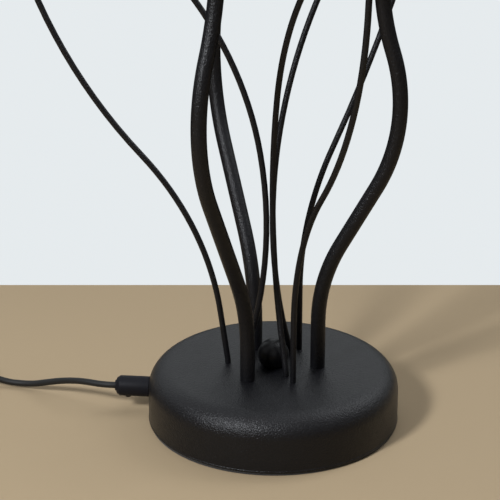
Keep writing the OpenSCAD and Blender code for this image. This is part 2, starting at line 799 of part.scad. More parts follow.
module holder_shells() {
    color(brass) for (i = [0 : arms - 1]) at_arm_top(i) translate([0, 0, cup_t + socket_floor])
        ring(shell_d, shell_d - 2 * shell_wall, shell_h);
}

contact_d = 6;

module holder_contacts() {
    color(brass) for (i = [0 : arms - 1]) at_arm_top(i) translate([0, 0, cup_t + socket_floor])
        cylinder(d = contact_d, h = contact_h);
}

// Bulbs. The cap's tip stands on the centre contact
cap_d = shell_d - 2 * shell_wall - 2 * hole_gap;
cap_tip_d = 5;
cap_tip_h = 2;
cap_cone_h = 2.5;
cap_low = cup_t + socket_floor + contact_h;
cap_top = cap_low + cap_tip_h + cap_cone_h + cap_h;

// Where a line from the top of the neck touches the globe
function globe_touch(r, neck_r) =
    let (rise = globe_lift - neck_h, far = sqrt(pow(rise, 2) + pow(neck_r, 2)))
    let (heading = asin(r / far) - atan(neck_r / rise), length = sqrt(pow(far, 2) - pow(r, 2)))
    [neck_r + length * sin(heading), neck_h + length * cos(heading)];

module glass_section(inset, low) {
    r = globe_d / 2 - inset;
    neck_r = neck_d / 2 - inset;
    polygon([[0, low], [neck_r, low], [neck_r, neck_h], globe_touch(r, neck_r), [0, globe_lift]]);
    intersection() {
        translate([0, globe_lift]) circle(r);
        translate([0, neck_h]) square([globe_d, globe_lift + globe_d]);
    }
}

module bulb_glass(i) {
    color([0.95, 0.94, 0.9]) at_arm_top(i) translate([0, 0, cap_top]) rotate_extrude() difference() {
        glass_section(0, 0);
        glass_section(glass_t, -cut);
    }
}

module bulb_caps() {
    color(zinc) for (i = [0 : arms - 1]) at_arm_top(i) translate([0, 0, cap_low]) {
        cylinder(d = cap_tip_d, h = cap_tip_h + cut);
        translate([0, 0, cap_tip_h]) cylinder(d1 = cap_tip_d, d2 = cap_d, h = cap_cone_h);
        translate([0, 0, cap_tip_h + cap_cone_h]) cylinder(d = cap_d, h = cap_h);
    }
}

// Cord. Its free stretches run through these points
run_route = [
    [-109, 0, 19], [-115, 0, 19], [-122, 2, 18.5], [-130, 5, 18], [-139, 9, 16.5], [-150, 15, 13],
    [-161, 20, 9], [-171, 24, 5.5], [-181, 27, 3.8], [-191, 28, 4.2], [-200, 28, 6.5], [-208, 28, 8],
    [-216, 28, 8]];
lead_route = [
    [-264, 28, 8], [-272, 28, 8], [-280, 26, 7], [-287, 21, 5.5], [-292, 14, 4.2], [-294, 5, 3.5],
    [-294, -5, 3.35], [-294, -13, 3.35], [-294, -19.5, 3.35]];
tail_route = [
    [-294, -28.5, 18.35], [-294, -37, 18], [-294, -47, 15], [-294, -57, 11], [-294, -66, 8],
    [-294, -74, 7], [-294, -82, 7]];
route_sides = 10;

module cord_run() {
    color(pvc) swept_tube(run_route, cord_d, route_sides);
}

module cord_lead() {
    color(pvc) swept_tube(lead_route, cord_d, route_sides);
}

module cord_tail() {
    color(pvc) swept_tube(tail_route, cord_d, route_sides);
}

// Coil: four layers that spiral in and out in turn. Each climb takes half a turn,
// and the spiral reverses in the middle of the climb
coil_in = lead_route[len(lead_route) - 1] - [0, cord_d, 0];
coil_layers = 4;
coil_rings = 24;
coil_sides = 6;
climb_turns = 0.5;
layer_turns = (coil_turns + climb_turns) / coil_layers;
flat_turns = layer_turns - climb_turns;
coil_max_r = coil_mid_r + coil_pitch * layer_turns / 2;
coil_min_r = coil_mid_r - coil_pitch * layer_turns / 2;
coil_in_r = coil_max_r - coil_pitch * climb_turns / 2;
tie_gap = 0.3;
tie_corner_r = 2;
tie_angle = 300;
coil_low = tie_t + tie_gap + cord_d / 2;
coil_centre = [coil_in[0] + coil_in_r, coil_in[1], 0];

function coil_radius(turn) =
    let (shifted = turn + climb_turns / 2, layer = floor(shifted / layer_turns))
    let (along = shifted - layer * layer_turns)
    layer % 2 == 0 ? coil_max_r - coil_pitch * along : coil_min_r + coil_pitch * along;

function coil_height(turn) =
    let (layer = floor(turn / layer_turns), along = turn - layer * layer_turns)
    coil_low + coil_pitch * (layer + max(0, (along - flat_turns) / climb_turns));

function coil_point(turn) =
    let (a = 180 + 360 * turn, r = coil_radius(turn))
    coil_centre + [r * cos(a), r * sin(a), coil_height(turn)];

// The turns, with a straight of one cord diameter at each end
function coil_points() =
    let (last = coil_point(coil_turns))
    concat(
        [coil_point(0) + [0, cord_d, 0]],
        [for (k = [0 : coil_turns * coil_rings]) coil_point(k / coil_rings)],
        [last - [0, cord_d, 0]]);

function least_gap(p) =
    min([for (i = [0 : len(p) - 1], j = [i + coil_rings / 2 : 1 : len(p) - 1]) norm(p[i] - p[j])]) - cord_d;

module cord_coil() {
    p = coil_points();
    echo(least_gap_between_turns = least_gap(p));
    color(pvc) swept_tube(p, cord_d, coil_sides);
}

module cord_tie() {
    near = sqrt(pow(coil_min_r - cord_d / 2, 2) - pow(tie_w / 2, 2)) - tie_gap;
    far = coil_max_r + cord_d / 2 + tie_gap;
    high = coil_low + coil_pitch * (coil_layers - 1) + cord_d / 2 + tie_gap;
    color([0.1, 0.1, 0.1]) translate(coil_centre) rotate([0, 0, tie_angle])
        translate([(near + far) / 2, 0, (tie_t + high) / 2]) rotate([90, 0, 0])
            linear_extrude(tie_w, center = true) difference() {
                rounded_plan(far - near + 2 * tie_t, high + tie_t, tie_corner_r);
                rounded_plan(far - near, high - tie_t, tie_corner_r - tie_t);
            }
}

// Switch on the cord. Its frame has +X towards the lamp and stands on the table
switch_ends = [run_route[len(run_route) - 1], lead_route[0]];
switch_place = [(switch_ends[0][0] + switch_ends[1][0]) / 2, switch_ends[0][1], 0];
split_z = switch_size[2] / 2;
top_under = switch_size[2] - switch_wall;
cord_hole_d = cord_d + 2 * cord_gap;
rocker_gap = 0.4;
pivot_down = 3;
pivot_z = top_under - pivot_down;
rocker_top = 5.6;
rocker_low = 3;
ear_t = 2;
ear_w = 6;
ear_past_pin = 2.5;
ear_low = pivot_z - ear_past_pin;
pin_gap = 0.06;
case_boss_wall = 1.8;
case_boss_d = case_screw_d + 2 * case_boss_wall;
case_boss_inset = [5, 0.4];
case_screw_x = switch_size[0] / 2 - switch_wall - case_boss_d / 2 - case_boss_inset[0];
case_screw_y = switch_size[1] / 2 - switch_wall - case_boss_d / 2 - case_boss_inset[1];
case_head_low = 0.4;
case_head_h = 1.6;
case_screw_bite = 5;
case_screw_high = split_z + case_screw_bite;

module switch_shell(h) {
    linear_extrude(h) rounded_plan(switch_size[0], switch_size[1], switch_corner_r);
}

module switch_hollow(h) {
    linear_extrude(h)
        rounded_plan(switch_size[0] - 2 * switch_wall, switch_size[1] - 2 * switch_wall,
                     switch_corner_r - switch_wall);
}

module cord_hole() {
    translate([0, 0, split_z]) rotate([0, 90, 0])
        cylinder(d = cord_hole_d, h = switch_size[0] + 2 * cut, center = true);
}

module at_case_screws() {
    for (side = [-1, 1]) translate([side * case_screw_x, side * case_screw_y, 0]) children();
}

module switch_base() {
    color(black_plastic) translate(switch_place) difference() {
        union() {
            difference() {
                switch_shell(split_z);
                translate([0, 0, switch_wall]) switch_hollow(split_z);
            }
            at_case_screws() translate([0, 0, switch_wall / 2])
                cylinder(d = case_boss_d, h = split_z - switch_wall / 2);
        }
        cord_hole();
        at_case_screws() translate([0, 0, -cut]) {
            cylinder(d = case_screw_d + 2 * hole_gap, h = split_z + 2 * cut);
            cylinder(d = case_head_d + 2 * hole_gap, h = case_head_low + case_head_h + cut);
        }
    }
}

module switch_top() {
    ear_in = rocker_w / 2 + rocker_gap;
    color(black_plastic) translate(switch_place) difference() {
        union() {
            difference() {
                translate([0, 0, split_z]) switch_shell(switch_size[2] - split_z);
                translate([0, 0, split_z - cut]) switch_hollow(top_under - split_z + cut);
            }
            at_case_screws() translate([0, 0, split_z])
                cylinder(d = case_boss_d, h = top_under - split_z + switch_wall / 2);
            for (side = [0, 1]) mirror([0, side, 0]) translate([-ear_w / 2, ear_in, ear_low])
                cube([ear_w, ear_t, top_under - ear_low + switch_wall / 2]);
        }
        cord_hole();
        translate([-rocker_r - rocker_gap, -ear_in, top_under - cut])
            cube([2 * (rocker_r + rocker_gap), 2 * ear_in, switch_wall + 2 * cut]);
        at_case_screws() translate([0, 0, split_z - cut])
            cylinder(d = case_screw_d + 2 * thread_gap, h = case_screw_high - split_z + slack + cut);
        translate([0, 0, pivot_z]) rotate([90, 0, 0])
            cylinder(d = pin_d + 2 * thread_gap, h = switch_size[1] / 2 + ear_in, center = true);
    }
}

// The rocker rests tilted, with its end towards the plug pressed down
module switch_rocker() {
    reach = 2 * rocker_r;
    rise = reach * tan(rocker_tilt);
    color([0.2, 0.2, 0.21]) translate(switch_place + [0, 0, pivot_z])
        rotate([0, -rocker_tilt, 0]) rotate([90, 0, 0])
            linear_extrude(rocker_w, center = true) difference() {
                intersection() {
                    circle(rocker_r);
                    polygon([[-reach, -rocker_low], [reach, -rocker_low], [reach, rocker_top + rise],
                             [0, rocker_top], [-reach, rocker_top + rise]]);
                }
                circle(d = pin_d + 2 * pin_gap);
            }
}

module rocker_pin() {
    color(zinc) translate(switch_place + [0, 0, pivot_z]) rotate([90, 0, 0])
        cylinder(d = pin_d, h = rocker_w + 2 * (rocker_gap + ear_t), center = true);
}

module switch_screws() {
    color(zinc) translate(switch_place) at_case_screws() translate([0, 0, case_head_low]) {
        cylinder(d = case_head_d, h = case_head_h);
        cylinder(d = case_screw_d, h = case_screw_high - case_head_low);
    }
}

module switch_contacts() {
    bar = [14, 5, 2];
    post = [2, 5, 3.5];
    first_x = 4;
    color(brass) translate(switch_place + [0, 0, switch_wall])
        for (side = [0, 1]) mirror([side, 0, 0]) translate([first_x, -bar[1] / 2, 0]) {
            cube(bar);
            cube(post);
        }
}

// Plug. Its frame has +Z along the pins, away from the cord
plug_cord = tail_route[len(tail_route) - 1];
plug_place = [plug_cord[0], plug_cord[1], plug_size[1] / 2];
plug_face = relief_l + plug_size[2];
pin_root = 8;
pin_shoulder = 0.4;
pin_root_d = plug_pin_d - 2 * pin_shoulder;
pin_tip_h = 1.2;
pin_tip_in = 0.8;
pin_tip_d = plug_pin_d - 2 * pin_tip_in;
relief_grooves = 5;
groove_w = 1.4;
groove_deep = 0.9;

module at_plug() {
    translate(plug_place) rotate([90, 0, 0]) children();
}

module at_plug_pins() {
    for (side = [-1, 1]) translate([side * plug_pin_pitch / 2, 0, plug_face]) children();
}

module plug_outline() {
    w = plug_size[0] / 2;
    polygon([
        [-plug_neck_w / 2, relief_l], [plug_neck_w / 2, relief_l],
        [w, plug_face - plug_front_l], [w, plug_face],
        [-w, plug_face], [-w, plug_face - plug_front_l]]);
}

module plug_body() {
    groove_step = relief_l / (relief_grooves + 1);
    color(black_plastic) at_plug() difference() {
        union() {
            rotate([90, 0, 0]) linear_extrude(plug_size[1], center = true) plug_outline();
            cylinder(d1 = relief_d[0], d2 = relief_d[1], h = relief_l);
            translate([0, 0, relief_l - cut]) cylinder(d = relief_d[1], h = 2 * cut);
        }
        for (k = [1 : relief_grooves]) translate([0, 0, k * groove_step - groove_w / 2]) {
            here = relief_d[0] + (relief_d[1] - relief_d[0]) * k / (relief_grooves + 1);
            ring(relief_d[1] + 2 * cut, here - 2 * groove_deep, groove_w);
        }
        at_plug_pins() translate([0, 0, -pin_root])
            cylinder(d = pin_root_d + 2 * thread_gap, h = pin_root + cut);
    }
}

module plug_pins() {
    color(zinc) at_plug() at_plug_pins() {
        translate([0, 0, -pin_root]) cylinder(d = pin_root_d, h = pin_root + cut);
        cylinder(d = plug_pin_d, h = plug_pin_l - pin_tip_h);
        translate([0, 0, plug_pin_l - pin_tip_h]) cylinder(d1 = plug_pin_d, d2 = pin_tip_d, h = pin_tip_h);
    }
}

base_cover();
base_weight();
base_pad();
centre_stud();
spacer_tube();
stud_nut();
ball_nut();
arm_tube(0);  // arm_tube_1
arm_tube(1);  // arm_tube_2
arm_tube(2);  // arm_tube_3
arm_nipples();
arm_washers();
arm_nuts();
outer_rod(0);  // outer_rod_1
outer_rod(1);  // outer_rod_2
outer_rod(2);  // outer_rod_3
inner_rod(0);  // inner_rod_1
inner_rod(1);  // inner_rod_2
inner_rod(2);  // inner_rod_3
rod_washers();
rod_nuts();
rod_tip_balls();
gland_body();
gland_nut();
gland_screw();
mains_tail();
terminal_block();
terminal_sleeves();
terminal_screws();
block_screw();
arm_wire(0);  // arm_wire_1
arm_wire(1);  // arm_wire_2
arm_wire(2);  // arm_wire_3
holder_cup(0);  // holder_cup_1
holder_cup(1);  // holder_cup_2
holder_cup(2);  // holder_cup_3
holder_nipples();
lampholder(0);  // lampholder_1
lampholder(1);  // lampholder_2
lampholder(2);  // lampholder_3
holder_shells();
holder_contacts();
bulb_glass(0);  // bulb_glass_1
bulb_glass(1);  // bulb_glass_2
bulb_glass(2);  // bulb_glass_3
bulb_caps();
cord_run();
cord_lead();
cord_coil();
cord_tie();
cord_tail();
switch_base();
switch_top();
switch_rocker();
rocker_pin();
switch_screws();
switch_contacts();
plug_body();
plug_pins();
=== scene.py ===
# %% [markdown]
# # A table lamp with wavy arms
#
# The lamp was first drawn as exact solids: a weighted base, bent tubes and rods, a cord with a
# switch and a plug. This lesson loads those solids as a fixed frame and dresses them. Some solids
# only get a finish. Where a smoother edge or a finer shape shows, a new mesh takes a solid's place.
# The frame is in metres. Sizes of pieces are written in millimetres, and MM turns them into metres.

# %% Load the solids
import json
import math

import bmesh
import bpy
from mathutils import Matrix, Vector


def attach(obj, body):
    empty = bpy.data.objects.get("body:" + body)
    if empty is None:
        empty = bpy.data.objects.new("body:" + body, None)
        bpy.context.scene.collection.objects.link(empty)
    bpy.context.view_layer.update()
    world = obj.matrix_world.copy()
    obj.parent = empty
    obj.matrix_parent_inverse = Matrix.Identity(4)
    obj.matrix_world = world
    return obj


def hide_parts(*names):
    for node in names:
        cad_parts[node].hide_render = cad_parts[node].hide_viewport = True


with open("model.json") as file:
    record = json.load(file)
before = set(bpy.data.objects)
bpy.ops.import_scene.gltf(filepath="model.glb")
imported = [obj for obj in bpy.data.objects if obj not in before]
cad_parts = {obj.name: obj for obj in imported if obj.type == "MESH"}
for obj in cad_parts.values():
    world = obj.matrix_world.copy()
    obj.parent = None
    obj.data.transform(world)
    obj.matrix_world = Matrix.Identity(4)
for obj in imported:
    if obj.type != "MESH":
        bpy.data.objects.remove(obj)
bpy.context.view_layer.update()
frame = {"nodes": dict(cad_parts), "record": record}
nodes = frame["nodes"]
scene = bpy.context.scene
scene.view_settings.view_transform = "Standard"
MM = 0.001


# %% [markdown]
# ## Camera
#
# The photograph is a close view of the lower half, taken from a little above and far away with a
# long lens. Position, pitch and focal length were found by lining up the base's round edge and the
# feet of the stems, so the same numbers give the same picture here. The small shift moves the
# picture's centre as the photograph's crop did.

# %% Place the camera
CAMERA_PLACE = (0.1004, -1.1649, 0.5900)
CAMERA_PITCH = 21.752
CAMERA_YAW = 5.87
CAMERA_LENS = 136.7
CAMERA_SENSOR = 36
CAMERA_SHIFT = 0.01
camera_data = bpy.data.cameras.new("photo_camera")
camera_data.sensor_width = CAMERA_SENSOR
camera_data.lens = CAMERA_LENS
camera_data.shift_x = CAMERA_SHIFT
camera = bpy.data.objects.new("photo_camera", camera_data)
camera.location = CAMERA_PLACE
camera.rotation_euler = (math.radians(90 - CAMERA_PITCH), 0, math.radians(CAMERA_YAW))
scene.collection.objects.link(camera)
scene.camera = camera
print("camera at", CAMERA_PLACE, "with a lens of", CAMERA_LENS, "mm")

# %% [markdown]
# ## Mains cord
#
# A thin round cord leaves the gland, sinks to the table and runs out of the picture to a switch.
# Beyond the switch the spare length is wound into a coil, as for storage. A cord keeps its
# thickness wherever it goes, so a curve with a round bevel is the natural way to make it. The
# route's points are given, and a smooth curve passes through all of them.

# %% Routes of the cord
CORD_D = 4.5
RUN_ROUTE = [
    (-109, 0, 19), (-115, 0, 19), (-122, 2, 18.5), (-130, 5, 18), (-139, 9, 16.5), (-150, 15, 13),
    (-161, 20, 9), (-171, 24, 5.5), (-181, 27, 3.8), (-191, 28, 4.2), (-200, 28, 6.5), (-208, 28, 8),
    (-216, 28, 8)]
LEAD_ROUTE = [
    (-264, 28, 8), (-272, 28, 8), (-280, 26, 7), (-287, 21, 5.5), (-292, 14, 4.2), (-294, 5, 3.5),
    (-294, -5, 3.35), (-294, -13, 3.35), (-294, -19.5, 3.35)]
TAIL_ROUTE = [
    (-294, -28.5, 18.35), (-294, -37, 18), (-294, -47, 15), (-294, -57, 11), (-294, -66, 8),
    (-294, -74, 7), (-294, -82, 7)]


def smooth_route(route, steps):
    """Points in metres on a curve that passes through every point of a route in millimetres."""
    points = [Vector(p) * MM for p in route]
    points = [2 * points[0] - points[1]] + points + [2 * points[-1] - points[-2]]
    smooth = []
    for a, b, c, d in zip(points, points[1:], points[2:], points[3:]):
        for k in range(steps):
            t = k / steps
            bend = (2 * a - 5 * b + 4 * c - d) * t ** 2 + (3 * b - a - 3 * c + d) * t ** 3
            smooth.append(b + ((c - a) * t + bend) / 2)
    return smooth + [points[-2]]


print("points set by hand:", len(RUN_ROUTE), len(LEAD_ROUTE), len(TAIL_ROUTE))

# %% [markdown]
# The coil has four layers that spiral in and out in turn, as a cord does that is wound round a
# hand. Each climb to the next layer takes half a turn, in the middle of which the spiral turns back.
# It starts where the lead ends, so its place follows from that point.

# %% Turns of the coil
COIL_TURNS = 9
COIL_MID_R = 27
COIL_PITCH = 5
COIL_LAYERS = 4
CLIMB_TURNS = 0.5
LAYER_TURNS = (COIL_TURNS + CLIMB_TURNS) / COIL_LAYERS
COIL_MAX_R = COIL_MID_R + COIL_PITCH * LAYER_TURNS / 2
COIL_MIN_R = COIL_MID_R - COIL_PITCH * LAYER_TURNS / 2
COIL_LOW = LEAD_ROUTE[-1][2]
COIL_CENTRE = Vector((
    LEAD_ROUTE[-1][0] + COIL_MAX_R - COIL_PITCH * CLIMB_TURNS / 2, LEAD_ROUTE[-1][1] - CORD_D, 0))


def coil_point(turn):
    """The cord's middle, in metres, after some turns."""
    spiral, along = divmod(turn + CLIMB_TURNS / 2, LAYER_TURNS)
    inwards = spiral % 2 == 0
    r = COIL_MAX_R - COIL_PITCH * along if inwards else COIL_MIN_R + COIL_PITCH * along
    layer, along = divmod(turn, LAYER_TURNS)
    climb = max(0, (along - LAYER_TURNS + CLIMB_TURNS) / CLIMB_TURNS)
    height = COIL_LOW + COIL_PITCH * (layer + climb)
    angle = math.pi + 2 * math.pi * turn
    return (COIL_CENTRE + Vector((r * math.cos(angle), r * math.sin(angle), height))) * MM


print("coil of", COIL_TURNS, "turns, radius", COIL_MIN_R, "to", COIL_MAX_R, "mm")

# %% [markdown]
# Each length of cord is a curve of one straight-stepped spline. The steps are so short that the bevel
# looks smooth, and the cord's length is simply the sum of its steps.

# %% Two lengths of cord
CORD_BEVEL_STEPS = 5
RUN_STEPS = 3
LEAD_STEPS = 2
COIL_STEPS = 48


def make_cord(name, points):
    """A round cord along points, as a curve of one spline."""
    data = bpy.data.curves.new(name, "CURVE")
    data.dimensions = "3D"
    data.bevel_depth = CORD_D / 2 * MM
    data.bevel_resolution = CORD_BEVEL_STEPS
    data.use_fill_caps = True
    spline = data.splines.new("POLY")
    spline.points.add(len(points) - 1)
    for place, point in zip(spline.points, points):
        place.co = (*point, 1)
    spline.use_smooth = True
    cord = bpy.data.objects.new(name, data)
    scene.collection.objects.link(cord)
    length = sum((b - a).length for a, b in zip(points, points[1:]))
    print(name, "has", len(points), "points and is", round(length, 4), "m long")
    return cord, length


coil_route = [coil_point(k / COIL_STEPS) for k in range(COIL_TURNS * COIL_STEPS + 1)]
run_cord, run_length = make_cord("mains_cord_run", smooth_route(RUN_ROUTE, RUN_STEPS))
lead_cord, lead_length = make_cord(
    "mains_cord_lead",
    smooth_route(LEAD_ROUTE, LEAD_STEPS) + coil_route + smooth_route(TAIL_ROUTE, LEAD_STEPS))

# %% [markdown]
# ## Table and light
#
# The lamp stands on a plain pale table whose far edge shows behind the base, in front of a pale
# backdrop. A table top without thickness is enough, because only its upper side is ever seen. It is
# turned with the camera, so that its far edge is level in the picture.

# %% Table top
TABLE_FRONT = -1.6
TABLE_BACK = 0.234
TABLE_HALF_WIDTH = 1.2
TABLE_COLOUR = (0.53, 0.4, 0.243, 1)
TABLE_ROUGHNESS = 0.75


def make_table_finish():
    finish = bpy.data.materials.new("pale_table")
    finish.use_nodes = True
    shader = finish.node_tree.nodes["Principled BSDF"]
    shader.inputs["Base Color"].default_value = TABLE_COLOUR
    shader.inputs["Roughness"].default_value = TABLE_ROUGHNESS
    return finish


def make_table(finish):
    bm = bmesh.new()
    bmesh.ops.create_grid(bm, x_segments=1, y_segments=1, size=1)
    bmesh.ops.scale(bm, verts=bm.verts, vec=(TABLE_HALF_WIDTH, (TABLE_BACK - TABLE_FRONT) / 2, 1))
    bmesh.ops.translate(bm, verts=bm.verts, vec=(0, (TABLE_BACK + TABLE_FRONT) / 2, 0))
    bmesh.ops.rotate(bm, verts=bm.verts, matrix=Matrix.Rotation(math.radians(CAMERA_YAW), 3, "Z"))
    mesh = bpy.data.meshes.new("table_top")
    bm.to_mesh(mesh)
    bm.free()
    table = bpy.data.objects.new("table_top", mesh)
    scene.collection.objects.link(table)
    mesh.materials.append(finish)


make_table(make_table_finish())
print("table edge", TABLE_BACK, "m behind the lamp")

# %% [markdown]
# The glints in the photograph tell where its lights stood: a small strong one at the front left,
# which throws the stems' shadows to the back right, and a wide one behind on the right. A wide soft
# one overhead opens up the top of the base. Their power is kept low enough that the white bulbs
# don't burn out.

# %% Lights
LIGHT_AIM = Vector((0, 0, 0.12))
LIGHT_COLOUR = (0.92, 0.95, 1)
LIGHTS = {
    "front_left_light": {"place": (-0.78, -1.14, 1.1), "size": 0.26, "power": 23},
    "back_right_light": {"place": (1.02, 0.59, 1.34), "size": 0.8, "power": 7},
    "overhead_light": {"place": (0, 0.15, 1.75), "size": 1.2, "power": 5.6}}


def soft_light(name, place, size, power):
    """A square light that faces the lamp."""
    data = bpy.data.lights.new(name, "AREA")
    data.shape = "SQUARE"
    data.size = size
    data.energy = power
    data.color = LIGHT_COLOUR
    light = bpy.data.objects.new(name, data)
    light.location = place
    light.rotation_euler = (LIGHT_AIM - Vector(place)).to_track_quat("-Z", "Y").to_euler()
    scene.collection.objects.link(light)


for light_name, facts in LIGHTS.items():
    soft_light(light_name, **facts)
print("lights:", list(LIGHTS))

# %% [markdown]
# Black paint shows little but what it mirrors, so the room round the lamp is made too, as colours of
# the world. The camera sees a pale backdrop. A mirrored ray sees that backdrop behind the lamp and a
# duller room in front, and both fade into the dark low down, so the sides of the base stay black.
# Three small helpers keep the node trees short, here and in the finishes.


# %% Node helpers
def add_node(tree, kind, inputs=None, **settings):
    """A new node with some inputs and settings."""
    node = tree.nodes.new(kind)
    for name, value in settings.items():
        setattr(node, name, value)
    for name, value in (inputs or {}).items():
        node.inputs[name].default_value = value
    return node


def choose(tree, factor, a, b):
    """One background or the other, by a factor."""
    mix = add_node(tree, "ShaderNodeMixShader")
    for socket, link in zip(mix.inputs, (factor, a, b)):
        tree.links.new(link, socket)
    return mix.outputs[0]


def ramp(tree, value, low, high):
    """A value that goes from 0 to 1 between a low and a high one."""
    node = add_node(tree, "ShaderNodeMapRange", {"From Min": low, "From Max": high})
    tree.links.new(value, node.inputs["Value"])
    return node.outputs["Result"]


# %% Colours of the world
WORLD_LIGHT = 0.042
WORLD_COLOURS = {
    "ambient": (0.9, 0.95, 1, 1),
    "backdrop": (0.79, 0.83, 0.85, 1),
    "front_room": (0.6, 0.6, 0.615, 1),
    "dark_low_room": (0.014, 0.014, 0.014, 1)}
world = bpy.data.worlds.new("studio")
world.use_nodes = True
scene.world = world
sky = world.node_tree
sky.nodes.clear()
backgrounds = {
    name: add_node(sky, "ShaderNodeBackground", {"Color": colour})
    for name, colour in WORLD_COLOURS.items()}
backgrounds["ambient"].inputs["Strength"].default_value = WORLD_LIGHT
colours = {name: node.outputs[0] for name, node in backgrounds.items()}
print("world light", WORLD_LIGHT, "and colours:", sorted(WORLD_COLOURS))

# %% Backdrop and mirrored room
BEHIND_RAMP = (0.05, 0.6)
WALL_HEIGHT_RAMP = (0, 0.3)
FRONT_HEIGHT_RAMP = (0.12, 0.42)
direction = add_node(sky, "ShaderNodeSeparateXYZ")
sky.links.new(add_node(sky, "ShaderNodeTexCoord").outputs["Generated"], direction.inputs[0])
behind = ramp(sky, direction.outputs["Y"], *BEHIND_RAMP)
wall_height = ramp(sky, direction.outputs["Z"], *WALL_HEIGHT_RAMP)
front_height = ramp(sky, direction.outputs["Z"], *FRONT_HEIGHT_RAMP)
wall = choose(sky, wall_height, colours["dark_low_room"], colours["backdrop"])
front = choose(sky, front_height, colours["dark_low_room"], colours["front_room"])
mirrored = choose(sky, behind, front, wall)

light_path = add_node(sky, "ShaderNodeLightPath")
in_gloss = add_node(sky, "ShaderNodeMath", operation="MAXIMUM")
sky.links.new(light_path.outputs["Is Glossy Ray"], in_gloss.inputs[0])
sky.links.new(light_path.outputs["Is Transmission Ray"], in_gloss.inputs[1])
seen = choose(sky, in_gloss.outputs[0], colours["ambient"], mirrored)
seen = choose(sky, light_path.outputs["Is Camera Ray"], seen, colours["backdrop"])
sky.links.new(seen, add_node(sky, "ShaderNodeOutputWorld").inputs["Surface"])
print("the world has", len(sky.nodes), "nodes")

# %% [markdown]
# ## Finishes
#
# Most of the lamp is black, so the finishes differ in their grain and gloss: a powder coat is
# finely pebbled and dull, enamel is smooth, moulded plastic has a tight satin grain. The grain and
# the slow change of tone are wanted in every finish, so each is a node group with its own sizes.
# The groups read Object coordinates, because every piece sits at the origin, unturned.

# %% Group helpers
NOISE_ROUGHNESS = 0.6


def new_group(name, inputs, outputs):
    """An empty shader node group with float sockets, and its two end nodes."""
    group = bpy.data.node_groups.new(name, "ShaderNodeTree")
    for label, value in inputs.items():
        socket = group.interface.new_socket(label, in_out="INPUT", socket_type="NodeSocketFloat")
        socket.default_value = value
    for label in outputs:
        group.interface.new_socket(label, in_out="OUTPUT", socket_type="NodeSocketFloat")
    return group, group.nodes.new("NodeGroupInput"), group.nodes.new("NodeGroupOutput")


def scaled_noise(group, size, detail, stretch=None):
    """Noise on Object coordinates whose lumps have the size that a socket gives, in metres."""
    coordinates = add_node(group, "ShaderNodeTexCoord").outputs["Object"]
    if stretch:
        mapping = add_node(group, "ShaderNodeMapping", {"Scale": stretch})
        group.links.new(coordinates, mapping.inputs["Vector"])
        coordinates = mapping.outputs["Vector"]
    per_metre = add_node(group, "ShaderNodeMath", {0: 1.0}, operation="DIVIDE")
    noise = add_node(group, "ShaderNodeTexNoise", {"Detail": detail, "Roughness": NOISE_ROUGHNESS})
    group.links.new(size, per_metre.inputs[1])
    group.links.new(coordinates, noise.inputs["Vector"])
    group.links.new(per_metre.outputs[0], noise.inputs["Scale"])
    return noise.outputs["Fac"]


# %% Groups for grain, tone and brushing
GRAIN_MM = 0.8
PATCH_MM = 30
LINE_MM = 0.4
FLECK_RANGE = (0.52, 0.72)
TONE_RANGE = (0.3, 0.7)
BRUSH_STRETCH = (0.03, 0.03, 1)


def build_grain():
    """Fine pebbles: a height for the bump, and flecks where the pebbles stand highest."""
    group, ins, outs = new_group("fine_grain", {"Grain size": GRAIN_MM * MM}, ["Fleck", "Height"])
    noise = scaled_noise(group, ins.outputs["Grain size"], detail=2)
    group.links.new(ramp(group, noise, *FLECK_RANGE), outs.inputs["Fleck"])
    group.links.new(noise, outs.inputs["Height"])
    return group


def build_tone():
    """Slow patches, such as handling leaves on any surface."""
    group, ins, outs = new_group("slow_tone", {"Patch size": PATCH_MM * MM}, ["Tone"])
    noise = scaled_noise(group, ins.outputs["Patch size"], detail=4)
    group.links.new(ramp(group, noise, *TONE_RANGE), outs.inputs["Tone"])
    return group


def build_brushing():
    """Long thin scratches round an upright axis, as turning and rolling leave on metal."""
    group, ins, outs = new_group("brushing", {"Line size": LINE_MM * MM}, ["Line"])
    noise = scaled_noise(group, ins.outputs["Line size"], detail=2, stretch=BRUSH_STRETCH)
    group.links.new(noise, outs.inputs["Line"])
    return group


groups = {group.name: group for group in (build_grain(), build_tone(), build_brushing())}
print("node groups:", sorted(groups))

# %% [markdown]
# One function builds every finish from the same few facts: two tones that the slow patches mix,
# a colour for the flecks, the range of roughness, and the size and depth of the grain. What is the
# same all over, such as a metal or a clear coat, is set on the shader itself. A Mix node has several
# sockets called A and B, so those for colours are found by their number.

# %% A finish from its facts
MIX_COLOUR_A = 6
MIX_COLOUR_B = 7
MIX_COLOUR_RESULT = 2


def place_group(tree, name, inputs):
    node = tree.nodes.new("ShaderNodeGroup")
    node.node_tree = groups[name]
    for label, value in inputs.items():
        node.inputs[label].default_value = value
    return node


def mix_colour(tree, factor, a, b):
    """A colour between two. Either may be a socket or a plain colour."""
    mix = add_node(tree, "ShaderNodeMix", data_type="RGBA")
    tree.links.new(factor, mix.inputs["Factor"])
    for value, socket in ((a, mix.inputs[MIX_COLOUR_A]), (b, mix.inputs[MIX_COLOUR_B])):
        if isinstance(value, bpy.types.NodeSocket):
            tree.links.new(value, socket)
        else:
            socket.default_value = (*value, 1)
    return mix.outputs[MIX_COLOUR_RESULT]


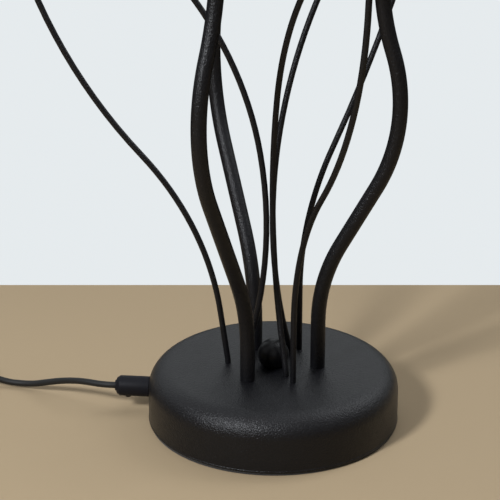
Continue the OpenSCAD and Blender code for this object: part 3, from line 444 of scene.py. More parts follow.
def make_finish(
        name, dark, light, fleck, roughness, grain_mm, depth_mm, patch_mm=PATCH_MM, brushed=False,
        **fixed):
    """A finish with patches, flecks and grain. What is fixed goes on the shader's own sockets."""
    finish = bpy.data.materials.new(name)
    finish.use_nodes = True
    tree = finish.node_tree
    shader = tree.nodes["Principled BSDF"]
    grain = place_group(tree, "fine_grain", {"Grain size": grain_mm * MM})
    tone = place_group(tree, "slow_tone", {"Patch size": patch_mm * MM})
    colour = mix_colour(tree, tone.outputs["Tone"], dark, light)
    colour = mix_colour(tree, grain.outputs["Fleck"], colour, fleck)
    gloss = add_node(tree, "ShaderNodeMapRange", {"To Min": roughness[0], "To Max": roughness[1]})
    bump = add_node(tree, "ShaderNodeBump", {"Distance": depth_mm * MM})
    if brushed:
        lines = place_group(tree, "brushing", {})
        tree.links.new(lines.outputs["Line"], gloss.inputs["Value"])
        tree.links.new(lines.outputs["Line"], bump.inputs["Height"])
    else:
        tree.links.new(tone.outputs["Tone"], gloss.inputs["Value"])
        tree.links.new(grain.outputs["Height"], bump.inputs["Height"])
    tree.links.new(colour, shader.inputs["Base Color"])
    tree.links.new(gloss.outputs["Result"], shader.inputs["Roughness"])
    tree.links.new(bump.outputs["Normal"], shader.inputs["Normal"])
    for label, value in fixed.items():
        shader.inputs[label.replace("_", " ")].default_value = value
    return finish


# %% Black finishes
black_coat = make_finish(
    "black_powder_coat", (0.0053, 0.0053, 0.0064), (0.0066, 0.0066, 0.0078), (0.0088, 0.0088, 0.0104),
    roughness=(0.31, 0.37), grain_mm=1.1, depth_mm=0.46, Specular_IOR_Level=0.265)
gloss_black = make_finish(
    "gloss_black_enamel", (0.0018, 0.0018, 0.0022), (0.0024, 0.0024, 0.003), (0.0032, 0.0032, 0.004),
    roughness=(0.34, 0.4), grain_mm=1.5, depth_mm=0.03, Specular_IOR_Level=0.2)
black_plastic = make_finish(
    "black_moulded_plastic",
    (0.0071, 0.0071, 0.0094), (0.0094, 0.0094, 0.0123), (0.0129, 0.0129, 0.0157),
    roughness=(0.5, 0.58), grain_mm=0.5, depth_mm=0.06, Specular_IOR_Level=0.13)
rocker_plastic = make_finish(
    "dark_rocker_plastic", (0.03, 0.03, 0.033), (0.038, 0.038, 0.041), (0.045, 0.045, 0.05),
    roughness=(0.25, 0.35), grain_mm=0.4, depth_mm=0.03)
cord_jacket = make_finish(
    "black_cord_jacket", (0.0107, 0.0107, 0.01), (0.0143, 0.0143, 0.0136), (0.0186, 0.0186, 0.0176),
    roughness=(0.5, 0.6), grain_mm=0.6, depth_mm=0.04, Specular_IOR_Level=0.286)
tie_band = make_finish(
    "black_tie_band", (0.012, 0.012, 0.013), (0.02, 0.02, 0.02), (0.035, 0.035, 0.035),
    roughness=(0.75, 0.9), grain_mm=0.5, depth_mm=0.2, Sheen_Weight=0.1)
felt = make_finish(
    "dark_felt", (0.02, 0.02, 0.021), (0.03, 0.03, 0.031), (0.045, 0.045, 0.046),
    roughness=(0.85, 0.95), grain_mm=0.5, depth_mm=0.3, Sheen_Weight=0.2)
black_finishes = [black_coat, gloss_black, black_plastic, rocker_plastic, cord_jacket, tie_band, felt]
print("black finishes:", [finish.name for finish in black_finishes])

# %% [markdown]
# What isn't black is mostly inside: the raw iron weight, zinc-plated fixings, brass contacts, pale
# wires and mouldings. The bulbs' opal glass and the plug's pins do show. Zinc and brass are brushed,
# because such parts are turned or rolled, and the glass has a thin clear coat for its soft glints.

# %% Metals, glass and pale plastics
iron = make_finish(
    "raw_cast_iron", (0.06, 0.06, 0.062), (0.1, 0.1, 0.102), (0.13, 0.12, 0.115),
    roughness=(0.55, 0.75), grain_mm=1.2, depth_mm=0.3, Metallic=0.8)
zinc = make_finish(
    "bright_zinc", (0.52, 0.53, 0.54), (0.62, 0.63, 0.64), (0.66, 0.66, 0.64),
    roughness=(0.25, 0.45), grain_mm=1.5, depth_mm=0.02, brushed=True, Metallic=1.0)
brass = make_finish(
    "plain_brass", (0.62, 0.43, 0.15), (0.72, 0.53, 0.22), (0.75, 0.58, 0.28),
    roughness=(0.22, 0.4), grain_mm=1.5, depth_mm=0.02, brushed=True, Metallic=1.0)
opal = make_finish(
    "opal_glass", (0.8, 0.79, 0.75), (0.84, 0.83, 0.8), (0.85, 0.84, 0.81),
    roughness=(0.12, 0.2), grain_mm=6, depth_mm=0.01, patch_mm=40,
    Coat_Weight=0.25, Coat_Roughness=0.15)
wire_jacket = make_finish(
    "pale_wire_jacket", (0.62, 0.61, 0.57), (0.7, 0.69, 0.65), (0.72, 0.71, 0.68),
    roughness=(0.45, 0.55), grain_mm=0.8, depth_mm=0.03)
pale_plastic = make_finish(
    "pale_polyamide", (0.7, 0.69, 0.65), (0.76, 0.75, 0.71), (0.78, 0.77, 0.74),
    roughness=(0.35, 0.45), grain_mm=0.6, depth_mm=0.04)
finish_of_slot = {
    "black_coat": black_coat, "gloss_black": gloss_black, "iron": iron, "pad": felt,
    "opal_glass": opal, "brass": brass, "black_plastic": black_plastic, "tie": tie_band,
    "cord_jacket": cord_jacket, "wire_jacket": wire_jacket, "pale_plastic": pale_plastic,
    "zinc": zinc}
print("slots with a finish:", len(finish_of_slot))

# %% [markdown]
# Every solid gets the finish of its slot first. Those that stay hidden inside the base and the
# arms are then done. A piece that takes a solid's place takes over its slot, and so its finish.

# %% Finish of every solid
for part in frame["record"]["subparts"]:
    mesh = nodes[part["node"]].data
    mesh.materials.clear()
    mesh.materials.append(finish_of_slot[part["material_slot"]])
for cord in (run_cord, lead_cord):
    cord.data.materials.append(cord_jacket)

# %% [markdown]
# ## Turned pieces
#
# Many pieces are round: the spun cover, the ball, cups, bulbs. On the real lamp they are spun,
# turned or blown, so here an outline of radius and height is spun once round the upright axis.
# Rounded corners are arcs in the outline, with enough points that no facet shows.

# %% Outline and lathe
MERGE_GAP = 0.001


def arc(centre, radius, first, last, steps=4):
    """Points (radius, height) on an arc from one angle to another, in degrees."""
    angles = [math.radians(first + (last - first) * k / steps) for k in range(steps + 1)]
    return [(centre[0] + radius * math.cos(a), centre[1] + radius * math.sin(a)) for a in angles]


def lathe(outline, steps=64, closed=False):
    """Spins an outline in millimetres round the Z axis. A closed outline makes a ring."""
    bm = bmesh.new()
    verts = [bm.verts.new((r * MM, 0, z * MM)) for r, z in outline]
    edges = [bm.edges.new(pair) for pair in zip(verts, verts[1:])]
    if closed:
        edges.append(bm.edges.new((verts[-1], verts[0])))
    bmesh.ops.spin(
        bm, geom=verts + edges, cent=(0, 0, 0), axis=(0, 0, 1), dvec=(0, 0, 0), angle=2 * math.pi,
        steps=steps, use_merge=True)
    bmesh.ops.remove_doubles(bm, verts=bm.verts, dist=MERGE_GAP * MM)
    bmesh.ops.recalc_face_normals(bm, faces=bm.faces)
    return bm


# %% [markdown]
# A piece is modelled about the origin and its mesh is then moved to its place, while its object
# stays where it is. Smooth shading breaks at edges that are sharper than the crease angle.


# %% Placing, joining and finishing
def turned(axis, degrees):
    return Matrix.Rotation(math.radians(degrees), 4, axis)


def moved(x, y, z):
    return Matrix.Translation((x, y, z))


def placed(bm, matrix):
    """The same mesh, moved by a matrix in millimetres."""
    scaled = Matrix.Translation(matrix.translation * MM) @ matrix.to_3x3().to_4x4()
    bmesh.ops.transform(bm, matrix=scaled, verts=bm.verts)
    return bm


def joined(meshes):
    """Several meshes as one."""
    whole = bmesh.new()
    for bm in meshes:
        mesh = bpy.data.meshes.new("loose")
        bm.to_mesh(mesh)
        bm.free()
        whole.from_mesh(mesh)
        bpy.data.meshes.remove(mesh)
    return whole


def make_piece(name, bm, slot, replaces, body="lamp", crease=35, finish=None):
    """A piece that rides on a body in place of some solids, in its slot's finish or its own."""
    mesh = bpy.data.meshes.new(name)
    bm.to_mesh(mesh)
    bm.free()
    mesh.shade_smooth()
    mesh.set_sharp_from_angle(angle=math.radians(crease))
    mesh.materials.append(finish or finish_of_slot[slot])
    piece = bpy.data.objects.new(name, mesh)
    scene.collection.objects.link(piece)
    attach(piece, body)
    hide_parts(*replaces)
    print(name, "has", len(mesh.polygons), "faces")
    return piece


# %% [markdown]
# The base's cover is spun from sheet steel: one wide radius runs from the flat top into the wall,
# and the lower rim is rolled. It shows as a thin line above the dark felt pad that it stands on.
# Each is turned from an outline of its own, in as many steps as such a large edge needs.

# %% Base cover and pad
BASE_R = 85
BASE_H = 40
BASE_EDGE_R = 16
BASE_STEPS = 160
COVER_T = 1.5
PAD_T = 2
PAD_INSET = 0.8
PAD_EDGE = 0.5
ROLL_R = 0.9
RIM_PROUD = 0.25
STUD_HOLE_R = 4.15

edge_centre = (BASE_R - BASE_EDGE_R, BASE_H - BASE_EDGE_R)
rim_centre = (BASE_R + RIM_PROUD - ROLL_R, PAD_T + ROLL_R)
rim_start = math.degrees(math.acos((BASE_R - rim_centre[0]) / ROLL_R))
cover_outline = [
    (STUD_HOLE_R, BASE_H),
    *arc(edge_centre, BASE_EDGE_R, 90, 0, steps=20),
    *arc(rim_centre, ROLL_R, rim_start, -180, steps=16),
    *arc(edge_centre, BASE_EDGE_R - COVER_T, 0, 90, steps=20),
    (STUD_HOLE_R, BASE_H - COVER_T)]
cover = lathe(cover_outline, BASE_STEPS, closed=True)
make_piece("spun_base_cover", cover, "black_coat", ["base_cover"])

pad_corner_r = BASE_R - PAD_INSET - PAD_EDGE
pad_outline = [
    (0, 0),
    *arc((pad_corner_r, PAD_EDGE), PAD_EDGE, -90, 0),
    *arc((pad_corner_r, PAD_T - PAD_EDGE), PAD_EDGE, 0, 90),
    (0, PAD_T)]
make_piece("felt_pad", lathe(pad_outline, BASE_STEPS), "pad", ["base_pad"])

# %% [markdown]
# The ball is a turned nut on the centre stud, in smooth enamel. It is cut flat where it sits on the
# cover, and its blind hole takes the stud, so its outline goes up the hole and round the ball.

# %% Ball nut
BALL_R = 10.75
BALL_LIFT = 7.5
BALL_HOLE_R = 4.05
BALL_HOLE_DEEP = 10.5
seat_angle = -math.degrees(math.asin(BALL_LIFT / BALL_R))
hole_top = BASE_H + BALL_HOLE_DEEP
ball_outline = [
    (0, hole_top), (BALL_HOLE_R, hole_top), (BALL_HOLE_R, BASE_H),
    *arc((0, BASE_H + BALL_LIFT), BALL_R, seat_angle, 90, steps=30)]
make_piece("turned_ball_nut", lathe(ball_outline, steps=72), "gloss_black", ["ball_nut"])

# %% [markdown]
# ## Arms and rods
#
# Each stem was bent by hand, so no two are alike. A stem is a list of straights and bends: the
# straight is an extruded ring and the bend is the same ring spun about the bend's centre, which is
# what a tube bender does. An arm carries a wire, so it is a tube with a bore, and a rod is solid.
# Angles are positive where a stem bends away from the lamp's axis.

# %% Stems as lists of straights and bends
TUBE_D = 10
TUBE_WALL = 1
TUBE_FOOT_R = 30
TUBE_RADII = (117, 117, 172, 117)
TUBE_TOP_RUN = 14
TUBES = [
    {"turn": -5.5, "runs": (33.5, 47), "bends": (28.5, -46.5, 38)},
    {"turn": 0, "runs": (19, 60), "bends": (33, -46, 33)},
    {"turn": 2.5, "runs": (22, 70), "bends": (26, -48.5, 43)}]
ROD_D = 4
ROD_FOOT_RUN = 1
ROD_FOOT_BEND_R = 12
OUTER_FOOT_R = 31
OUTER_RODS = [
    {"turn": 0, "bends": (8, 34.5, -30, 12), "radii": (203, 345, 150), "runs": (35.5, 25)},
    {"turn": 2, "bends": (0, 39.5, -37, 24), "radii": (158, 230, 200), "runs": (40, 20)},
    {"turn": -13, "bends": (0, 34, -12, -20), "radii": (169, 750, 200), "runs": (45, 25)}]
INNER_FOOT_R = 20
INNER_RODS = [
    {"turn": 0, "bends": (-15, 24.5, 34, -43), "radii": (311, 243, 150), "runs": (15, 20)},
    {"turn": 4, "bends": (-16, 25.5, 40, -47), "radii": (387, 174, 150), "runs": (16, 20)},
    {"turn": -13, "bends": (-16, 20, 32, -34), "radii": (312, 269, 150), "runs": (15.5, 25)}]


def tube_path(tube):
    """Straights and bends of an arm. The last bend brings its top upright again."""
    bends = (*tube["bends"], -sum(tube["bends"]))
    return [*zip((*tube["runs"], 0, 0), TUBE_RADII, bends), (TUBE_TOP_RUN, 0, 0)]


def rod_path(rod):
    """Straights and bends of a rod, which starts with a tight bend at its foot."""
    runs = (ROD_FOOT_RUN, rod["runs"][0], 0, 0)
    return [*zip(runs, (ROD_FOOT_BEND_R, *rod["radii"]), rod["bends"]), (rod["runs"][1], 0, 0)]


def stem_end(path):
    """Distance out, height and lean of a stem's end."""
    x, z, lean = 0, BASE_H, 0
    for run, radius, angle in path:
        before, after = math.radians(lean), math.radians(lean + angle)
        side = math.copysign(radius, angle)
        x += run * math.sin(before) + side * (math.cos(before) - math.cos(after))
        z += run * math.cos(before) + side * (math.sin(after) - math.sin(before))
        lean += angle
    return x, z, lean


print("arms end at", [round(stem_end(tube_path(tube))[1]) for tube in TUBES], "mm")

# %% [markdown]
# Extrude and spin both give back what they made, and the last ring of edges is the start of the next
# straight or bend. A tube is closed at first, so that its faces can be turned outwards, and then
# opened again before the wall gets its thickness.

# %% Bending a stem
DEGREES_PER_STEP = 2


def verts_in(geom):
    return [v for v in geom if isinstance(v, bmesh.types.BMVert)]


def edges_in(geom):
    return [e for e in geom if isinstance(e, bmesh.types.BMEdge)]


def next_ring(bm, edges, shift):
    """Extrudes a ring of edges by a shift and gives the new ring."""
    made = bmesh.ops.extrude_edge_only(bm, edges=edges)["geom"]
    verts = verts_in(made)
    bmesh.ops.translate(bm, verts=verts, vec=shift)
    return [e for e in edges_in(made) if all(v in verts for v in e.verts)]


def bent_bar(path, diameter, sides, wall=0):
    """A bar that stands on the base and follows a path. With a wall, it is a tube."""
    bm = bmesh.new()
    foot = Matrix.Translation((0, 0, BASE_H * MM))
    bmesh.ops.create_circle(bm, radius=diameter / 2 * MM, segments=sides, matrix=foot)
    first = edges = bm.edges[:]
    for number, (run, radius, angle) in enumerate(path):
        x, z, lean = stem_end(path[:number] + [(run, 0, 0)])
        turn = math.radians(lean)
        if run:
            edges = next_ring(bm, edges, Vector((math.sin(turn), 0, math.cos(turn))) * run * MM)
        if angle:
            side = math.copysign(radius, angle)
            centre = Vector((x + side * math.cos(turn), 0, z - side * math.sin(turn))) * MM
            verts = list({v for e in edges for v in e.verts})
            spun = bmesh.ops.spin(
                bm, geom=verts + edges, cent=centre, axis=(0, 1, 0), dvec=(0, 0, 0),
                angle=math.radians(angle), steps=max(2, round(abs(angle) / DEGREES_PER_STEP)))
            edges = edges_in(spun["geom_last"])
    ends = [f for ring in (first, edges) for f in bmesh.ops.edgeloop_fill(bm, edges=ring)["faces"]]
    bmesh.ops.recalc_face_normals(bm, faces=bm.faces)
    if wall:
        bmesh.ops.delete(bm, geom=ends, context="FACES_ONLY")
        bmesh.ops.solidify(bm, geom=bm.faces[:], thickness=wall * MM)
    return bm


# %% Three tubes and six rods
ARM_STEP = 120
ROD_SIDE = 180
TUBE_SIDES = 32
ROD_SIDES = 20
STEM_CREASE = 60


def foot_place(side, number, foot_r, turn):
    """Where a stem stands on the base, and which way its bends point."""
    return turned("Z", side + ARM_STEP * number) @ moved(foot_r, 0, 0) @ turned("Z", turn)


def make_stem(name, bar, place, solid):
    make_piece(name, placed(bar, place), "black_coat", [solid], crease=STEM_CREASE)


tube_places = [foot_place(0, i, TUBE_FOOT_R, tube["turn"]) for i, tube in enumerate(TUBES)]
for i, tube in enumerate(TUBES):
    bar = bent_bar(tube_path(tube), TUBE_D, TUBE_SIDES, TUBE_WALL)
    make_stem(f"bent_arm_tube_{i + 1}", bar, tube_places[i], f"arm_tube_{i + 1}")

rod_ends = []
for kind, rods, foot_r in (("outer", OUTER_RODS, OUTER_FOOT_R), ("inner", INNER_RODS, INNER_FOOT_R)):
    for i, rod in enumerate(rods):
        place = foot_place(ROD_SIDE, i, foot_r, rod["turn"])
        bar = bent_bar(rod_path(rod), ROD_D, ROD_SIDES)
        make_stem(f"bent_{kind}_rod_{i + 1}", bar, place, f"{kind}_rod_{i + 1}")
        x, z, lean = stem_end(rod_path(rod))
        rod_ends.append(place @ moved(x, 0, z) @ turned("Y", lean))

# %% [markdown]
# A small ball closes each rod's tip, so that no sharp end is left. It is turned with a blind hole,
# and a fine collar shows where the rod goes in. All six are one mesh, because they are alike.

# %% Balls on the rods' tips
TIP_R = 4.5
TIP_PAST_MIDDLE = 0.5
COLLAR_R = 2.7
COLLAR_H = 1.2
COLLAR_EDGE = 0.3
TIP_FIT = 0.05
collar_angle = -math.degrees(math.acos(COLLAR_R / TIP_R))
collar_top = TIP_R * math.sin(math.radians(collar_angle)) - TIP_PAST_MIDDLE
tip_hole_r = ROD_D / 2 + TIP_FIT
tip_low = collar_top - COLLAR_H
tip_outline = [
    (0, 0), (tip_hole_r, 0), (tip_hole_r, tip_low), (COLLAR_R - COLLAR_EDGE, tip_low),
    (COLLAR_R, tip_low + COLLAR_EDGE),
    *arc((0, -TIP_PAST_MIDDLE), TIP_R, collar_angle, 90, steps=20)]
balls = joined([placed(lathe(tip_outline, steps=40), end) for end in rod_ends])
make_piece("rod_tips", balls, "black_coat", ["rod_tip_balls"], crease=50)

# %% [markdown]
# ## Cord gland
#
# A moulded barrel screws into the base's wall. Its nose steps in to a lip that grips the cord, and
# a clamp screw sits in its underside, where its head shows as a small bump. Both are turned, and the
# barrel is then laid on its side.

# %% Gland
GLAND_Z = 19
GLAND_R = 7
GLAND_L = 21
GLAND_GAP = 0.05
GLAND_EDGE = 0.4
SHOULDER_R = 0.7
SHOULDER_TURN = 40
GLAND_BEVEL_L = 1.8
GLAND_BEVEL_R = 5.4
NOSE_CHAMFER = 0.2
LIP_R = 3.8
LIP_L = 1.2
THREAD_R = 4.8
THREAD_L = 8
CORD_HOLE_R = 2.35
gland_nose = GLAND_L + GLAND_BEVEL_L
lip_corner = gland_nose + LIP_L - GLAND_EDGE
gland_outline = [
    (CORD_HOLE_R, -THREAD_L), (THREAD_R, -THREAD_L), (THREAD_R, GLAND_GAP),
    *arc((GLAND_R - GLAND_EDGE, GLAND_GAP + GLAND_EDGE), GLAND_EDGE, -90, 0),
    *arc((GLAND_R - SHOULDER_R, GLAND_L - SHOULDER_R), SHOULDER_R, 0, SHOULDER_TURN),
    (GLAND_BEVEL_R + NOSE_CHAMFER, gland_nose - NOSE_CHAMFER),
    (GLAND_BEVEL_R - NOSE_CHAMFER / 2, gland_nose), (LIP_R, gland_nose),
    *arc((LIP_R - GLAND_EDGE, lip_corner), GLAND_EDGE, 0, 90),
    *arc((CORD_HOLE_R + GLAND_EDGE, lip_corner), GLAND_EDGE, 90, 180)]
gland_place = moved(-BASE_R, 0, GLAND_Z) @ turned("Y", -90)
gland = placed(lathe(gland_outline, closed=True), gland_place)
make_piece("moulded_gland", gland, "black_plastic", ["gland_body"])

# %% Clamp screw
CLAMP_AT = 15.2
HEAD_R = 2.1
HEAD_LOW = 5.8
HEAD_HIGH = 8
HEAD_EDGE = 0.6
RECESS_R = 0.9
RECESS_DEEP = 0.7
head_outline = [
    (0, HEAD_LOW), (HEAD_R, HEAD_LOW),
    *arc((HEAD_R - HEAD_EDGE, HEAD_HIGH - HEAD_EDGE), HEAD_EDGE, 0, 90),
    (RECESS_R, HEAD_HIGH), (RECESS_R, HEAD_HIGH - RECESS_DEEP), (0, HEAD_HIGH - RECESS_DEEP)]
clamp_place = gland_place @ moved(0, 0, CLAMP_AT) @ turned("Y", -90)
clamp = placed(lathe(head_outline, steps=32), clamp_place)
make_piece("clamp_screw", clamp, "black_plastic", ["gland_screw"])

# %% [markdown]
# ## Lampholders and bulbs
#
# The photograph stops below the tops of the arms, so these are the usual ones for such a lamp: a
# spun cup with a rolled rim hides a small screw lampholder, and an opal globe bulb stands in it. All
# are turned, so each needs only its outline. The cup's rim is most of a circle on top of its wall.

# %% Outline of a cup
CUP_R = 18
CUP_H = 46
CUP_T = 1
CUP_EDGE_R = 9
CUP_HOLE_R = 4.1
CUP_RIM_R = 0.9
CUP_RIM_OUT = 0.2
CUP_RIM_TURN = (-60, 220)
cup_edge = (CUP_R - CUP_EDGE_R, CUP_EDGE_R)
cup_rim = (CUP_R - CUP_T / 2 + CUP_RIM_OUT, CUP_H - CUP_RIM_R)
cup_outline = [
    (CUP_HOLE_R, 0),
    *arc(cup_edge, CUP_EDGE_R, -90, 0, steps=14),
    *arc(cup_rim, CUP_RIM_R, *CUP_RIM_TURN, steps=14),
    *arc(cup_edge, CUP_EDGE_R - CUP_T, 0, -90, steps=14),
    (CUP_HOLE_R, CUP_T)]
print("cup outline:", len(cup_outline), "points")

# %% [markdown]
# The lampholder is a plastic moulding with grooves round it for the fingers. A groove is four points
# in the outline: down a slope, along its floor and up again. The plug's sleeve has such grooves too.

# %% Outline of a lampholder
HOLDER_R = 13.5
HOLDER_H = 40
HOLDER_LOW_EDGE = 1
HOLDER_TOP_EDGE = 1.5
BOSS_R = 7.5
BOSS_H = 6
SOCKET_R = 7.65
SOCKET_EDGE = 0.8
SOCKET_FLOOR = 16
FINGER_GROOVES = 5
FIRST_GROOVE = 3
FINGER_GROOVE_STEP = 4
FINGER_GROOVE = {"width": 1.6, "depth": 0.5, "slope": 0.4}


def groove(radius, low, width, depth, slope):
    """Four points of a groove that starts at a height."""
    high = low + width
    floor_r = radius - depth
    return [(radius, low), (floor_r, low + slope), (floor_r, high - slope), (radius, high)]


first_low = BOSS_H + FIRST_GROOVE
groove_lows = [first_low + k * FINGER_GROOVE_STEP for k in range(FINGER_GROOVES)]
holder_outline = [
    (0, 0), (BOSS_R, 0), (BOSS_R, BOSS_H),
    *arc((HOLDER_R - HOLDER_LOW_EDGE, BOSS_H + HOLDER_LOW_EDGE), HOLDER_LOW_EDGE, -90, 0),
    *[point for low in groove_lows for point in groove(HOLDER_R, low, **FINGER_GROOVE)],
    *arc((HOLDER_R - HOLDER_TOP_EDGE, HOLDER_H - HOLDER_TOP_EDGE), HOLDER_TOP_EDGE, 0, 90, steps=5),
    *arc((SOCKET_R + SOCKET_EDGE, HOLDER_H - SOCKET_EDGE), SOCKET_EDGE, 90, 180),
    (SOCKET_R, SOCKET_FLOOR), (0, SOCKET_FLOOR)]
print("lampholder grooves at", groove_lows, "mm")

# %% [markdown]
# A globe bulb is blown: a straight neck, a cone and a ball that the cone touches without a kink. The
# angle at which they touch follows from their sizes. The wall's inside is the same line, set in.

# %% Outline of a bulb
GLOBE_R = 22.5
GLOBE_LIFT = 36
NECK_R = 6.5
NECK_H = 5
GLASS_T = 0.9


def glass_wall(inset):
    """The bulb's wall from its neck to its top. The cone above the neck touches the globe."""
    neck_r, globe_r, rise = NECK_R - inset, GLOBE_R - inset, GLOBE_LIFT - NECK_H
    touch = math.asin(globe_r / math.hypot(rise, neck_r)) - math.atan(neck_r / rise)
    globe = arc((0, GLOBE_LIFT), globe_r, -math.degrees(touch), 90, steps=40)
    return [(neck_r, 0), (neck_r, NECK_H), *globe]


glass_outline = glass_wall(0)[::-1] + glass_wall(GLASS_T)
print("bulb outline:", len(glass_outline), "points")

# %% Three cups, lampholders and bulbs
CAP_TOP = 40
CUP_STEPS = 72
BULB_STEPS = 72
for i, tube in enumerate(TUBES):
    x, z = stem_end(tube_path(tube))[:2]
    top = tube_places[i] @ moved(x, 0, z)
    cup = placed(lathe(cup_outline, CUP_STEPS, closed=True), top)
    make_piece(f"spun_cup_{i + 1}", cup, "black_coat", [f"holder_cup_{i + 1}"])
    holder = placed(lathe(holder_outline), top @ moved(0, 0, CUP_T))
    make_piece(f"ribbed_lampholder_{i + 1}", holder, "black_plastic", [f"lampholder_{i + 1}"])
    glass = placed(lathe(glass_outline, BULB_STEPS), top @ moved(0, 0, CAP_TOP))
    make_piece(f"opal_globe_{i + 1}", glass, "opal_glass", [f"bulb_glass_{i + 1}"], crease=50)

# %% [markdown]
# ## Switch on the cord
#
# The switch is a small two-part housing that is screwed together round the cord. A cube with bevelled
# edges gives each half its rounded plan, and the seam between them is a fine bevel on both.

# %% Halves of the switch
SWITCH_PLACE = (-240, 28, 0)
SWITCH_L = 60
SWITCH_W = 24
SWITCH_H = 16
SWITCH_SPLIT = 8
SWITCH_CORNER_R = 9
SWITCH_EDGE_R = 2
SEAM_R = 0.3
SAME_PLACE = 1e-6


def block(size):
    """A block of a size in millimetres, with its middle at the origin."""
    bm = bmesh.new()
    bmesh.ops.create_cube(bm, size=1)
    bmesh.ops.scale(bm, verts=bm.verts, vec=Vector(size) * MM)
    return bm


def bevelled(bm, edges, width, segments):
    """Rounds some edges by a width in millimetres."""
    bmesh.ops.bevel(
        bm, geom=edges, offset=width * MM, offset_type="OFFSET", affect="EDGES", segments=segments,
        profile=0.5, material=-1, clamp_overlap=True)


def edges_along(bm, axis):
    """The edges whose ends differ along an axis: 0, 1 or 2."""
    return [e for e in bm.edges if abs(e.verts[0].co[axis] - e.verts[1].co[axis]) > SAME_PLACE]


def edges_at(bm, height):
    """The edges that lie at a height, in millimetres."""
    return [e for e in bm.edges if all(abs(v.co.z - height * MM) < SAME_PLACE for v in e.verts)]


def switch_half(low, high, low_r, high_r):
    """A block with the housing's rounded plan and rounded lower and upper edges."""
    bm = block((SWITCH_L, SWITCH_W, high - low))
    bmesh.ops.translate(bm, verts=bm.verts, vec=(0, 0, (low + high) / 2 * MM))
    bevelled(bm, edges_along(bm, 2), SWITCH_CORNER_R, segments=10)
    bevelled(bm, edges_at(bm, low), low_r, segments=4)
    bevelled(bm, edges_at(bm, high), high_r, segments=4)
    return bm


# %% [markdown]
# The rocker's window is marked by four planes, which cut its outline into the block. It is opened
# right through the upper half, where a bridge between the two outlines makes the walls. In the lower
# half it is pressed down as a pocket for the rocker's lower part.

# %% Window and pocket
WINDOW_L = 20.4
WINDOW_W = 10.8
POCKET_DEEP = 4
SQUARE_ON = 0.9


def mark_window(bm):
    """Cuts the window's outline into a block with four planes."""
    for x, y in ((1, 0), (-1, 0), (0, 1), (0, -1)):
        bmesh.ops.bisect_plane(
            bm, geom=bm.verts[:] + bm.edges[:] + bm.faces[:], plane_no=(x, y, 0),
            plane_co=Vector((x * WINDOW_L / 2, y * WINDOW_W / 2, 0)) * MM)
    bm.normal_update()


def window_faces(bm):
    """The level faces within the window's outline, above and below."""
    centres = [(f, f.calc_center_median()) for f in bm.faces if abs(f.normal.z) > SQUARE_ON]
    half_l, half_w = WINDOW_L / 2 * MM, WINDOW_W / 2 * MM
    return [f for f, centre in centres if abs(centre.x) < half_l and abs(centre.y) < half_w]


def cut_window(bm):
    """Opens the window right through a block."""
    mark_window(bm)
    bmesh.ops.delete(bm, geom=window_faces(bm), context="FACES")
    bmesh.ops.bridge_loops(bm, edges=[e for e in bm.edges if e.is_boundary])
    bmesh.ops.recalc_face_normals(bm, faces=bm.faces)
    return bm


def press_pocket(bm):
    """Presses the window's outline into a block's top, as room for the rocker's lower part."""
    mark_window(bm)
    top = [f for f in window_faces(bm) if f.normal.z > 0]
    made = bmesh.ops.extrude_face_region(bm, geom=top)["geom"]
    bmesh.ops.delete(bm, geom=top, context="FACES_ONLY")
    bmesh.ops.translate(bm, verts=verts_in(made), vec=(0, 0, -POCKET_DEEP * MM))
    bmesh.ops.recalc_face_normals(bm, faces=bm.faces)
    return bm


# %% Switch housing
switch_place = moved(*SWITCH_PLACE)
lower = placed(press_pocket(switch_half(0, SWITCH_SPLIT, SWITCH_EDGE_R, SEAM_R)), switch_place)
make_piece("switch_lower_half", lower, "black_plastic", ["switch_base"])
upper = placed(cut_window(switch_half(SWITCH_SPLIT, SWITCH_H, SEAM_R, SWITCH_EDGE_R)), switch_place)
make_piece("switch_upper_half", upper, "black_plastic", ["switch_top"])

# %% [markdown]
# The rocker turns on a pin. Its ends are round about that pin so that they clear the window, and its
# top is a shallow valley. It rests with one end down. Fine ribs on one end tell the finger which is
# which. Its side view is drawn once and extruded across, and the ribs are thin turned bars.

# %% Rocker
PIVOT_Z = 11.2
ROCKER_R = 9.8
ROCKER_W = 10
ROCKER_TOP = 5.6
ROCKER_LOW = 3
ROCKER_TILT = 8
ROCKER_EDGE_R = 0.4
SHARP_ANGLE = 40
RIB_R = 0.35
RIB_TAPER = 0.2
RIB_END_GAP = 1.5
RIB_PLACES = (4.4, 5.6, 6.8)
tilt = math.radians(ROCKER_TILT)


def extruded(outline, width):
    """A flat outline of x and height in millimetres, drawn out to a width across."""
    bm = bmesh.new()
    face = bm.faces.new([bm.verts.new((x * MM, -width / 2 * MM, z * MM)) for x, z in outline])
    made = bmesh.ops.extrude_face_region(bm, geom=[face])["geom"]
    bmesh.ops.translate(bm, verts=verts_in(made), vec=(0, width * MM, 0))
    bmesh.ops.recalc_face_normals(bm, faces=bm.faces)
    return bm


def rocker_body():
    low_angle = math.degrees(math.asin(ROCKER_LOW / ROCKER_R))
    top_angle = ROCKER_TILT + math.degrees(math.asin(ROCKER_TOP * math.cos(tilt) / ROCKER_R))
    right = arc((0, 0), ROCKER_R, -low_angle, top_angle, steps=8)
    left = [(-x, z) for x, z in reversed(right)]
    bm = extruded(right + [(0, ROCKER_TOP)] + left, ROCKER_W)
    limit = math.radians(SHARP_ANGLE)
    sharp = [e for e in bm.edges if len(e.link_faces) == 2 and e.calc_face_angle() > limit]
    bevelled(bm, sharp, ROCKER_EDGE_R, segments=3)
    return bm


def rocker_rib(x):
    half = ROCKER_W / 2 - RIB_END_GAP
    outline = [(0, -half), (RIB_R, RIB_TAPER - half), (RIB_R, half - RIB_TAPER), (0, half)]
    place = moved(x, 0, ROCKER_TOP + x * math.tan(tilt)) @ turned("X", 90)
    return placed(lathe(outline, steps=12), place)


